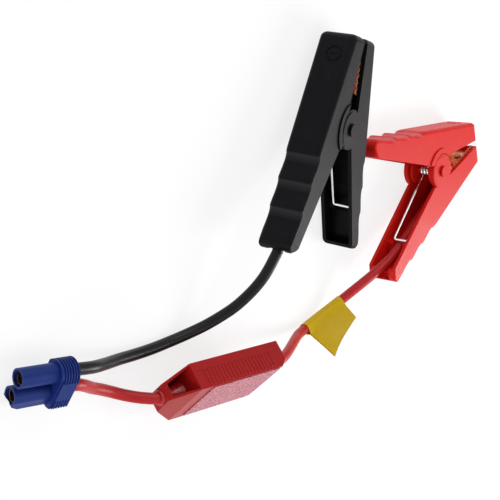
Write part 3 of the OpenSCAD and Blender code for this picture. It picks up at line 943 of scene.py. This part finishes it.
@dataclass
class Studio:
    """Camera, floor, world and soft lamps, in metres and degrees."""

    camera_at: Point = (0.0154, -0.4271, 0.2960)
    down: float = 54.0
    roll: float = 108.0
    lens: float = 72.0
    sensor: float = 36.0
    nearest: float = 0.01
    farthest: float = 20.0
    world: float = 0.42
    floor_size: float = 12.0
    floor_z: float = -0.00002
    lamps: Sequence[Lamp] = (Lamp("overhead", (0.25, 0.15, 1.1), 0.9, 1.9),
                             Lamp("side_key", (-1.0, -0.25, 0.55), 0.8, 3.6),
                             Lamp("far_softbox", (0.02, 0.95, 0.68), 0.5, 8.4),
                             Lamp("low_front", (0.85, -0.6, 0.2), 0.4, 2.6))

    def set_camera(self) -> None:
        """Place the camera."""
        camera = bpy.data.objects.new("camera", bpy.data.cameras.new("camera"))
        bpy.context.scene.collection.objects.link(camera)
        camera.data.lens = self.lens
        camera.data.sensor_width = self.sensor
        camera.data.clip_start = self.nearest
        camera.data.clip_end = self.farthest
        camera.matrix_world = Matrix.Translation(self.camera_at) \
            @ Matrix.Rotation(math.radians(self.down), 4, "X") \
            @ Matrix.Rotation(math.radians(self.roll), 4, "Z")
        bpy.context.scene.camera = camera

    def lay_floor(self) -> None:
        """Lay the pale floor."""
        deselect()
        bpy.ops.mesh.primitive_plane_add(size=self.floor_size, location=(0, 0, self.floor_z))
        floor = added("floor")
        floor.data.materials.append(FLOOR.material())

    def light(self) -> None:
        """Set the world and hang the lamps."""
        scene = bpy.context.scene
        scene.view_settings.view_transform = "Standard"
        scene.world = bpy.data.worlds.new("white_room")
        room = Graph(scene.world)
        level = room.node("ShaderNodeMapRange", {}, {
            "Value": room.seen(), "To Min": self.world, "To Max": 1.0})
        room.close(room.node("ShaderNodeBackground", {}, {"Strength": level}),
                   "ShaderNodeOutputWorld")
        for lamp in self.lamps:
            lamp.hang()


# ------------------------------------------------------------------- the leads

@dataclass
class Lead:
    """One free stretch of cable, in mm."""

    node: str
    finish: Finish
    route: Sequence[Point]
    diameter: float = 5.5

    def build(self) -> None:
        path = [q * MM for q in curve_through(self.route, CABLE_STEPS)]
        piece = round_rod(self.node + "_cable", path, self.diameter / 2, 5)
        carry(piece, self.finish, self.node)
        length = sum((b - a).length for a, b in zip(path, path[1:]))
        LOG.info("%s: %.1f mm of cable", piece.name, length / MM)


BLACK_LEAD = Lead("black_lead", BLACK_JACKET, (
    (84.1, -128.8, 12.9), (82.3, -117.7, 12.4), (81, -106.7, 8.8), (79, -95.5, 5.4),
    (76.3, -84.3, 3.6), (72.6, -73.3, 3), (68, -62.5, 2.9), (62.9, -54, 4.5),
    (56.7, -46.7, 7.7), (50.1, -41.3, 11.3), (43.8, -37.5, 14.7), (37.1, -34.8, 17.7),
    (30.2, -32.7, 20.2), (23, -31.3, 22), (12.5, -29.7, 23.1)))
PLUG_SIDE_LEAD = Lead("red_lead_plug_side", RED_JACKET, (
    (92.7, -125.6, 8.3), (91.3, -118.9, 8.5), (92, -111.7, 6.5), (93.2, -104.7, 4.2),
    (93.8, -97.7, 3.1), (94.4, -90.7, 3.2), (94.6, -83.9, 5.8), (93.8, -77.3, 10.4),
    (92.2, -70.7, 13.9), (88.7, -60.7, 15.1)))
CLAMP_SIDE_LEAD = Lead("red_lead_clamp_side", RED_JACKET, (
    (69.5, -6.5, 19.5), (66.4, 3.4, 20.3), (62.4, 12.4, 18.6), (58.4, 21.3, 14.8),
    (54.7, 29.8, 10.6), (51.3, 38.3, 6.6), (46.9, 47.3, 4.4), (40.6, 55.9, 4.2),
    (33.4, 62.9, 5.8), (26, 68.3, 8.4), (19.3, 72.6, 11), (12.8, 76.8, 13.5),
    (5.2, 82.2, 15.9), (-4, 89.9, 17.3), (-10.8, 96, 17.2)))


# ------------------------------------------------------------------ the clamps

class Sign(Enum):
    """Polarity that a clamp shows on its back, as the turns of its strokes in degrees."""

    NEGATIVE = (0.0,)
    POSITIVE = (0.0, 90.0)


class Part(Enum):
    """Which of a clamp's two arms a piece belongs to."""

    FIXED = "fixed"
    MOVING = "moving"


@dataclass
class Clamp(Placed):
    """A sprung battery clamp that lies on its side, in mm.

    In its own frame the pin is the origin, +X points to the tip, and +Y to the upper arm's back.
    """

    name: str
    sign: Sign
    plastic: Finish
    jacket: Finish
    moving_upper: bool
    arm: ArmLine = ARM
    tip_w: float = 20.0
    grip_w: float = 17.8
    grip_depth: float = 1.7
    grip_lean: float = 0.6
    crest: float = 0.4
    crest_fade: float = 0.4
    end_soft: float = 5.4
    tip_soft: float = 3.3
    edge_soft: float = 2.8
    end_lean: float = 1.5
    rim_end: float = 35.5
    rim_round: float = 3.0
    skin: float = 0.15
    arm_edge: float = 0.45
    pin_edge: float = 0.35
    strip_edge: float = 0.12
    rivet_edge: float = 0.35
    bar_x: float = 40.0
    bar_y: float = 27.5
    bar_end: float = 6.44
    bar_bend: float = 1.6
    coil_r: float = 3.25
    coil_turns: int = 3
    coil_steps: int = 26
    leg_z: float = 3.333
    wire_d: float = 1.5
    mark_x: float = 35.0
    mark_z: float = 0.8
    mark_r: float = 3.8
    mark_groove: float = 0.6
    mark_stroke: Point = (0.8, 4.2, 0.6)
    lid_gap: float = 0.04
    lid_past: float = 5.0
    lid_skirt: float = 2.0
    lid_depth: float = 70.0
    lid_fall: float = 12.0
    lid_steps: int = 12
    lid_plain: Sequence[float] = (0.0, 15.0, 30.0)
    fade_in: Sequence[float] = (1.0, 2.0, 3.0, 4.0, 5.0, 6.0)
    fade_out: Sequence[float] = (1.0, 2.0)
    end_low: float = -20.0
    end_high: float = 60.0
    end_spread: float = 3.0

    @property
    def moving_body(self) -> str:
        """Name of the body that turns."""
        return f"{self.name}_moving_arm"

    def body_of(self, part: Part) -> str:
        """Return the body that a part rides on."""
        return self.moving_body if part is Part.MOVING else ROOT

    def half_w(self, x: float) -> float:
        """Return half the arm's width at x."""
        return self.grip_w / 2 \
            + (self.tip_w - self.grip_w) / 2 * (x + self.arm.grip_len) / self.arm.whole

    def scallop(self, x: float) -> float:
        """Find how deep the finger scallops are.

        Args:
            x: Place along the arm.

        Returns:
            The depth, which fades out beyond the first and last scallop.
        """
        share = (-self.arm.grip_start - x) / self.arm.grip_pitch
        beyond = max(0.0, -share, share - self.arm.grip_count)
        if beyond > 0:
            return self.crest * max(0.0, 1 - beyond / self.crest_fade) ** 2
        depth = self.grip_depth * math.sin(math.pi * (share % 1) ** self.grip_lean)
        return math.hypot(depth, self.crest)

    def back_at(self, x: float, side: float) -> float:
        """Find the height of the softened back.

        Args:
            x: Place along the arm.
            side: Distance inwards from the arm's side.

        Returns:
            The height, lower at the scallops and towards the sides, the tip and the grip's end.
        """
        end, reach = min((x + self.arm.grip_len, self.end_soft),
                         (self.arm.tip_len - x, self.tip_soft))
        a = max(0.0, 1 - (end + self.skin) / reach) ** 2
        b = max(0.0, 1 - (side + self.skin) / self.edge_soft) ** 2
        radius = (reach * a + self.edge_soft * b) / (a + b) if a + b else 0.0
        drop = radius * (1 - math.sqrt(max(0.0, 1 - a - b))) + max(0.0, a + b - 1) * self.lid_fall
        return self.arm.back_y(x) - self.lid_gap - self.scallop(x) - drop

    def lid_stops(self) -> list[float]:
        """Find where the lid has its rows.

        Returns:
            Places along the arm, closer together at the ends and the scallops.
        """
        start, end = -self.arm.grip_len - self.skin, self.arm.tip_len + self.skin
        bends = [1 - math.cos(a) for a in QUARTER]
        grip = [-self.arm.grip_start - self.arm.grip_pitch * k / self.lid_steps
                for k in range(self.lid_steps * self.arm.grip_count + 1)]
        stops = [-self.arm.grip_len - self.lid_past, *(start + self.end_soft * c for c in bends),
                 *grip, *(-self.arm.grip_start + k for k in self.fade_in),
                 *(grip[-1] - k for k in self.fade_out), *self.lid_plain,
                 *(end - self.tip_soft * c for c in bends), self.arm.tip_len + self.lid_past]
        return sorted(set(round(x, 4) for x in stops))

    def lid_row(self, x: float, way: int) -> list[Vector]:
        """Make one row of the lid.

        Args:
            x: Place along the arm.
            way: 1 for the upper arm, -1 for the lower one.

        Returns:
            The row's points across the arm, in metres.
        """
        inner = max(-self.arm.grip_len - self.skin, min(self.arm.tip_len + self.skin, x))
        insets = [self.edge_soft * (1 - math.cos(a)) - self.skin for a in QUARTER]
        half = [(self.half_w(inner) - e, self.back_at(inner, e)) for e in insets]
        foot = (self.half_w(inner) + self.lid_past, half[0][1] - self.lid_skirt)
        half = [foot] + half
        across = half + [(0.0, half[-1][1])] + [(-z, y) for z, y in reversed(half)]
        drop = self.lid_skirt if x != inner else 0.0
        return [self.place(x, way * (y - drop), z) for z, y in across]

    def soften_back(self, arm: bpy.types.Object, way: int) -> None:
        """Trim an arm under a lid that has the soft corners and the finger scallops.

        Args:
            arm: The arm.
            way: 1 for the upper arm, -1 for the lower one.
        """
        lid = sheet_of("back_lid", [self.lid_row(x, way) for x in self.lid_stops()])
        faced(lid, self.run(0, -way * self.lid_depth, 0))
        joined(arm, lid, Join.KEEP)
        evened(arm, angle=38.0)

    def round_end(self, arm: bpy.types.Object, way: int) -> None:
        """Round the upright corners of the grip's end down to the rim.

        Args:
            arm: The arm.
            way: 1 for the upper arm, -1 for the lower one.
        """
        w, r = self.half_w(-self.arm.grip_len) + self.skin, self.rim_round
        corner = [(r - r * math.cos(a), w - r + r * math.sin(a)) for a in QUARTER]
        half = corner + [(self.arm.whole + self.lid_past, w + self.end_spread)]
        outline = half + [(x, -z) for x, z in reversed(half)]
        deselect()
        bpy.ops.mesh.primitive_cylinder_add(vertices=len(outline))
        shape = added("end_shape")
        for i, (x, z) in enumerate(outline):
            for spot in shape.data.vertices[2 * i:2 * i + 2]:
                y = self.end_low if spot.co.z < 0 else self.end_high
                lean = self.end_lean * (self.arm.end_back - y) / (self.arm.end_back - self.rim_end)
                spot.co = self.place(x - self.arm.grip_len - self.skin + lean, way * y, z)
        faced(shape)
        joined(arm, shape, Join.KEEP)

    def cut_mark(self, arm: bpy.types.Object) -> None:
        """Sink a ring and its minus or plus into the arm's back.

        Args:
            arm: The upper arm.
        """
        slope = math.atan2(self.arm.tip_back - self.arm.end_back, self.arm.whole)
        spot = self.seat(self.mark_x, self.arm.back_y(self.mark_x), self.mark_z) \
            @ Matrix.Rotation(slope, 4, "Z") @ Matrix.Rotation(-math.pi / 2, 4, "X")
        deselect()
        bpy.ops.mesh.primitive_torus_add(
            major_radius=self.mark_r * MM, minor_radius=self.mark_groove * MM,
            major_segments=48, minor_segments=10)
        joined(arm, put(added("mark_ring"), spot), Join.CUT)
        for angle in self.sign.value:
            turned = spot @ Matrix.Rotation(math.radians(angle), 4, "Z")
            joined(arm, block("mark_stroke", self.mark_stroke, turned), Join.CUT)

    def build_arm(self, part: Part) -> None:
        """Make one arm with soft corners, scallops and, on the upper one, its polarity mark.

        Args:
            part: Fixed or moving.
        """
        node = f"{self.name}_arm_{part.value}"
        arm = copy_of(node, f"{node}_moulding")
        eased(arm, self.arm_edge)
        upper = (part is Part.MOVING) == self.moving_upper
        way = 1 if upper else -1
        self.round_end(arm, way)
        self.soften_back(arm, way)
        if upper:
            self.cut_mark(arm)
        carry(arm, self.plastic, node, self.body_of(part))

    def build_pin(self) -> None:
        """Make the pivot pin with eased heads."""
        pin = copy_of(f"{self.name}_pin", f"{self.name}_pin_turned")
        eased(pin, self.pin_edge, 3)
        carry(pin, self.plastic, f"{self.name}_pin")

    def build_jaws(self) -> None:
        """Make both toothed strips and their rivets."""
        for part in Part:
            body = self.body_of(part)
            strip = copy_of(f"{self.name}_jaw_{part.value}", f"{self.name}_strip_{part.value}")
            eased(strip, self.strip_edge, 1)
            carry(strip, COPPER, f"{self.name}_jaw_{part.value}", body)
            node = f"{self.name}_rivets_{part.value}"
            rivets = copy_of(node, f"{self.name}_rivet_heads_{part.value}")
            eased(rivets, self.rivet_edge, 3)
            carry(rivets, RIVET_METAL, node, body)

    def spring_leg(self, side: int, lead_in: float) -> list[Vector]:
        """Make one leg of the spring.

        Args:
            side: 1 for the upper leg, -1 for the lower one.
            lead_in: Angle at which the legs touch the coil.

        Returns:
            The wire's middle line from the cross bar up to the coil.
        """
        z = side * self.leg_z
        bar = Vector((-self.bar_x, side * self.bar_y, -side * self.bar_end))
        foot = Vector((-self.bar_x, side * self.bar_y, z))
        touch = Vector((self.coil_r * math.cos(lead_in), side * self.coil_r * math.sin(lead_in), z))
        return filleted([bar, foot, touch], self.bar_bend)[:-1]

    def spring_path(self) -> list[Vector]:
        """Find the spring wire's middle line.

        Returns:
            Its points from one cross bar through the coil to the other.
        """
        reach = math.hypot(self.bar_x, self.bar_y)
        lead_in = math.atan2(self.bar_y, -self.bar_x) - math.acos(self.coil_r / reach)
        sweep = 2 * lead_in + 2 * math.pi * self.coil_turns
        steps = self.coil_steps * self.coil_turns
        coil = []
        for i in range(steps + 1):
            t = i / steps
            angle = lead_in - t * sweep
            coil.append(Vector((self.coil_r * math.cos(angle), self.coil_r * math.sin(angle),
                                self.leg_z * (1 - 2 * t))))
        return self.spring_leg(1, lead_in) + coil + self.spring_leg(-1, lead_in)[::-1]

    def build_spring(self) -> None:
        """Wind the torsion spring, its coil at the pin between the two arms."""
        path = [self.place(*q) for q in self.spring_path()]
        only(round_rod(f"{self.name}_spring_wire", path, self.wire_d / 2, 3))
        bpy.ops.object.convert(target="MESH")
        spring = added(f"{self.name}_spring_wire")
        smoothed(spring, angle=40.0)
        SPRING_WIRE.on(spring)
        side = 1 if self.moving_upper else -1
        tuple(self.place(0, -side * self.coil_r, 0))
        tuple(self.place(0, side * self.coil_r, 0))
        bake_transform(spring)
        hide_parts(f"{self.name}_spring")
        LOG.info("%s: %s, from arm to arm", spring.name, SPRING_WIRE.name)

    def dress_inside(self) -> None:
        """Finish the lead's end and its ferrule."""
        self.jacket.on(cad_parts[f"{self.name}_lead_end"])
        COPPER.on(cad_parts[f"{self.name}_ferrule"])

    def build(self) -> None:
        """Make the whole clamp."""
        for part in Part:
            self.build_arm(part)
        self.build_pin()
        self.build_jaws()
        self.build_spring()
        self.dress_inside()


BLACK_CLAMP = Clamp(*BLACK_LIES, "black", Sign.NEGATIVE, BLACK_PLASTIC, BLACK_JACKET,
                    moving_upper=False)
RED_CLAMP = Clamp(*RED_LIES, "red", Sign.POSITIVE, RED_PLASTIC, RED_JACKET, moving_upper=True)


# -------------------------------------------------------------------- the plug

@dataclass
class Plug(Placed):
    """The keyed two-pole plug, in mm.

    In its own frame +X points to the mouths and +Y to the keyed pole.
    """

    at: Point = (90.8, -135.3, 9.4)
    turn: Point = (-26.8, 8.0, -73.6)
    pole: float = 5.1
    barrel_r: float = 4.2
    barrel_len: float = 16.8
    bore_clear: float = 3.75
    key_h: float = 2.4
    key_root: Point = (0.3, 4.1)
    key_side: float = 3.3
    key_bevel: float = 1.6
    key_from: float = -0.5
    key_short: float = 0.03
    key_low: float = 2.9
    key_slope: float = 33.0
    wedge: Point = (60.0, 20.0, 30.0)
    contact_from: float = -6.5
    contact_back: float = 1.3
    contact_r: float = 3.1
    contact_wall: float = 0.5
    contact_edge: float = 0.12
    edge: float = 0.22

    def key_outline(self) -> list[tuple[float, float]]:
        """Find the key's section.

        Returns:
            Its corners as (y, z), hollow where the barrel's bore passes.
        """
        top = self.pole + self.barrel_r + self.key_h
        half = [(self.pole + self.key_root[0], self.key_root[1]),
                (top - self.key_bevel, self.key_side), (top, self.key_bevel)]
        hollow = [(self.pole + self.bore_clear * math.cos(math.radians(a)),
                   self.bore_clear * math.sin(math.radians(a))) for a in range(-84, 85, 14)]
        return half + [(y, -z) for y, z in reversed(half)] + hollow

    def add_key(self, housing: bpy.types.Object) -> None:
        """Join the key to the barrel, and slope its front and the mouth's corners.

        Args:
            housing: The plug's housing.
        """
        outline = self.key_outline()
        deselect()
        bpy.ops.mesh.primitive_circle_add(vertices=len(outline), fill_type="NGON")
        key = added("plug_key")
        for spot, (y, z) in zip(key.data.vertices, outline):
            spot.co = self.place(self.key_from, y, z)
        faced(key, self.run(self.barrel_len - self.key_short - self.key_from, 0, 0))
        joined(housing, key, Join.ADD)
        tilt = self.seat(self.barrel_len, self.pole + self.key_low, 0) \
            @ Matrix.Rotation(math.radians(-self.key_slope), 4, "Z") \
            @ Matrix.Translation((0, self.wedge[1] / 2 * MM, 0))
        joined(housing, block("key_slope", self.wedge, tilt), Join.CUT)

    def build_contact(self, name: str, y: float) -> None:
        """Make one round contact, which fills its barrel's bore.

        Args:
            name: The pole's name.
            y: Place of the pole.
        """
        length = self.barrel_len - self.contact_back - self.contact_from
        deselect()
        bpy.ops.mesh.primitive_cylinder_add(vertices=40, radius=self.contact_r * MM,
                                            depth=length * MM, end_fill_type="NOTHING")
        contact = put(added(f"plug_contact_sleeve_{name}"),
                      self.seat(self.contact_from + length / 2, y, 0)
                      @ Matrix.Rotation(math.pi / 2, 4, "Y"))
        with_modifier(contact, "SOLIDIFY", thickness=self.contact_wall * MM, offset=-1.0)
        eased(contact, self.contact_edge)
        # The contact is real, but it reaches close to the mouth and is finished nearly black:
        # painted shade that darkens the bore.
        carry(contact, GOLD, f"plug_contact_{name}")

    def build(self) -> None:
        """Make the housing and both contacts."""
        housing = copy_of("plug_housing", "plug_moulding")
        self.add_key(housing)
        eased(housing, self.edge)
        carry(housing, BLUE_PLASTIC, "plug_housing")
        for name, y in (("negative", -self.pole), ("positive", self.pole)):
            self.build_contact(name, y)


# --------------------------------------------------------------- the inline box

class Half(Enum):
    """One of the box's two shells, with the side of the box that its ribs are on."""

    FRONT = 1
    BACK = -1

    @property
    def word(self) -> str:
        """The shell's name in lower case."""
        return self.name.lower()


@dataclass
class InlineBox(Placed):
    """The protection box in the red lead, in mm.

    In its own frame +X points to the clamp and +Z out of the pad.
    """

    at: Point = (78.7, -31.6, 17.8)
    turn: Point = (40.8, -5.0, 109.0)
    length: float = 59.0
    width: float = 31.0
    thick: float = 13.6
    neck_len: float = 12.0
    seam_side: float = 2.3
    side_trim: float = 0.02
    limit: Point = (200.0, 100.0)
    rib_count: int = 20
    rib_h: float = 0.2
    rib_from: float = 6.0
    rib_ends: float = 14.0
    rib_share: float = 0.5
    rib_seam_gap: float = 0.5
    rib_top_gap: float = 1.0
    rib_edge: float = 0.16
    relief_r: float = 3.1
    relief_out: float = 0.8
    relief_in: float = 0.2
    relief_swell: Stops = ((0.0, 1.14), (0.1, 1.36), (0.2, 1.42), (0.28, 1.42), (0.36, 1.14),
                           (0.44, 1.1), (0.52, 1.22), (0.6, 1.16), (0.68, 1.32), (0.78, 1.36),
                           (0.9, 1.56), (1.0, 1.8))
    edge: float = 0.45
    pad_edge: float = 0.2

    def build_shell(self, half: Half) -> None:
        """Make one shell with plain sides.

        Args:
            half: Front or back.
        """
        shell = copy_of(f"box_shell_{half.word}", f"box_moulding_{half.word}")
        room = (self.limit[0], self.width - 2 * self.side_trim, self.limit[1])
        joined(shell, block("side_limit", room, self.seat(0, 0, 0)), Join.KEEP)
        eased(shell, self.edge)
        carry(shell, BOX_PLASTIC, f"box_shell_{half.word}")

    def build_ribs(self, half: Half) -> None:
        """Make the row of soft ribs on the shell's narrow side.

        Args:
            half: Front or back.
        """
        side = half.value
        pitch = (self.length - self.rib_ends) / self.rib_count
        broad = pitch * self.rib_share
        tall = self.thick / 2 + self.seam_side - self.rib_top_gap - self.rib_seam_gap
        rib = block(f"box_ribs_{half.word}", (broad, self.rib_h * 2, tall),
                    self.seat(self.rib_from - self.length / 2 + broad / 2,
                              side * (self.width / 2 - self.side_trim),
                              side * (self.thick / 2 - self.rib_top_gap - tall / 2)))
        with_modifier(rib, "BEVEL", width=self.rib_edge * MM, segments=2)
        with_modifier(rib, "ARRAY", count=self.rib_count, use_relative_offset=False,
                      use_constant_offset=True, constant_offset_displace=self.run(pitch, 0, 0))
        smoothed(rib, angle=60.0)
        carry(rib, BOX_PLASTIC, f"box_shell_{half.word}")

    def build_relief(self) -> None:
        """Make the flared strain relief that shows in the neck's open side."""
        start = -self.length / 2 - self.neck_len - self.relief_out
        reach = self.neck_len + self.relief_out - self.relief_in
        path = [self.place(start + reach * t, 0, 0) for t, _ in self.relief_swell]
        relief = round_rod("box_strain_relief", path, self.relief_r, 5,
                           [swell for _, swell in self.relief_swell])
        carry(relief, RELIEF_PLASTIC, "box_shell_front")

    def build(self) -> None:
        """Make shells, ribs, strain relief and pad, and finish the board and its diodes."""
        for half in Half:
            self.build_shell(half)
            self.build_ribs(half)
        self.build_relief()
        pad = copy_of("box_pad", "box_stippled_pad")
        eased(pad, self.pad_edge)
        carry(pad, PAD, "box_pad")
        BOARD.on(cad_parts["box_board"])
        DIODE.on(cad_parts["box_diodes"])


# --------------------------------------------------------------- the cable flag

@dataclass
class CableFlag:
    """A vinyl sheet wrapped round the lead, its two leaves stuck together, in mm and degrees."""

    width: float = 31.5
    reach: float = 22.5
    short: float = 13.0
    start: float = 59.5
    way: Point = (0.38, 0.27, 0.885)
    curl: float = 1.2
    ring: float = 3.0
    meet: float = 1.5
    leaf: float = 0.3
    ripple: float = 0.05
    thickness: float = 0.28
    wrap_from: float = 50.0
    wrap_turn: float = 260.0
    wrap_steps: int = 18
    across: int = 28
    along: int = 30

    def base(self, path: Sequence[Vector], u: float) -> tuple[Vector, Vector]:
        """Find where the flag holds the lead.

        Args:
            path: The lead's middle line.
            u: Share of the way along the flag.

        Returns:
            The lead's middle and its direction there.
        """
        left = self.start + u * self.width
        for a, b in zip(path, path[1:]):
            step = (b - a).length
            if left <= step:
                return a.lerp(b, left / step), (b - a).normalized()
            left -= step
        return path[-1], (path[-1] - path[-2]).normalized()

    def reach_at(self, u: float) -> float:
        """Return how far the leaves stand out at a share u along the flag."""
        return self.reach + (self.short - self.reach) * u

    def profile(self, u: float) -> list[tuple[float, float]]:
        """Find the sheet's section.

        Args:
            u: Share of the way along the flag.

        Returns:
            Its points as (out, side) from the lead's middle.
        """
        reach, meet = self.reach_at(u), self.ring + self.meet
        leaf = []
        for j in range(self.across):
            v = j / (self.across - 1)
            leaf.append((reach + (meet - reach) * v,
                         self.leaf + self.ripple * math.sin(5 * u + 2 * v)))
        wrap = []
        for j in range(1, self.wrap_steps):
            angle = math.radians(self.wrap_from + self.wrap_turn * j / self.wrap_steps)
            wrap.append((self.ring * math.cos(angle), self.ring * math.sin(angle)))
        return leaf + wrap + [(out, -side) for out, side in reversed(leaf)]

    def row(self, path: Sequence[Vector], u: float) -> list[Vector]:
        """Lay one section of the sheet round the lead.

        Args:
            path: The lead's middle line.
            u: Share of the way along the flag.

        Returns:
            The section's points in the model, in metres.
        """
        middle, run = self.base(path, u)
        out = Vector(self.way).normalized()
        out = (out - out.dot(run) * run).normalized()
        side = run.cross(out)
        points = []
        for x, y in self.profile(u):
            bow = self.curl * max(0.0, x / self.reach_at(u)) ** 2
            points.append((middle + out * x + side * (y + bow)) * MM)
        return points

    def build(self) -> None:
        """Wrap the sheet and give it its thickness."""
        path = curve_through(CLAMP_SIDE_LEAD.route, CABLE_STEPS)
        sheet = sheet_of("cable_flag_sheet",
                         [self.row(path, i / self.along) for i in range(self.along + 1)])
        with_modifier(sheet, "SOLIDIFY", thickness=self.thickness * MM, offset=0.0)
        faced(sheet)
        smoothed(sheet, angle=50.0)
        carry(sheet, FLAG_VINYL, "cable_flag")


# -------------------------------------------------------------------- assembly


def main() -> None:
    """Build the studio and the lead set, piece by piece."""
    logging.basicConfig(level=logging.INFO, format="%(name)s: %(message)s")
    studio = Studio()
    studio.set_camera()
    for lead in (BLACK_LEAD, PLUG_SIDE_LEAD, CLAMP_SIDE_LEAD):
        lead.build()
    studio.lay_floor()
    studio.light()
    for clamp in (BLACK_CLAMP, RED_CLAMP):
        clamp.build()
    Plug().build()
    InlineBox().build()
    CableFlag().build()


if __name__ == "__main__":
    main()
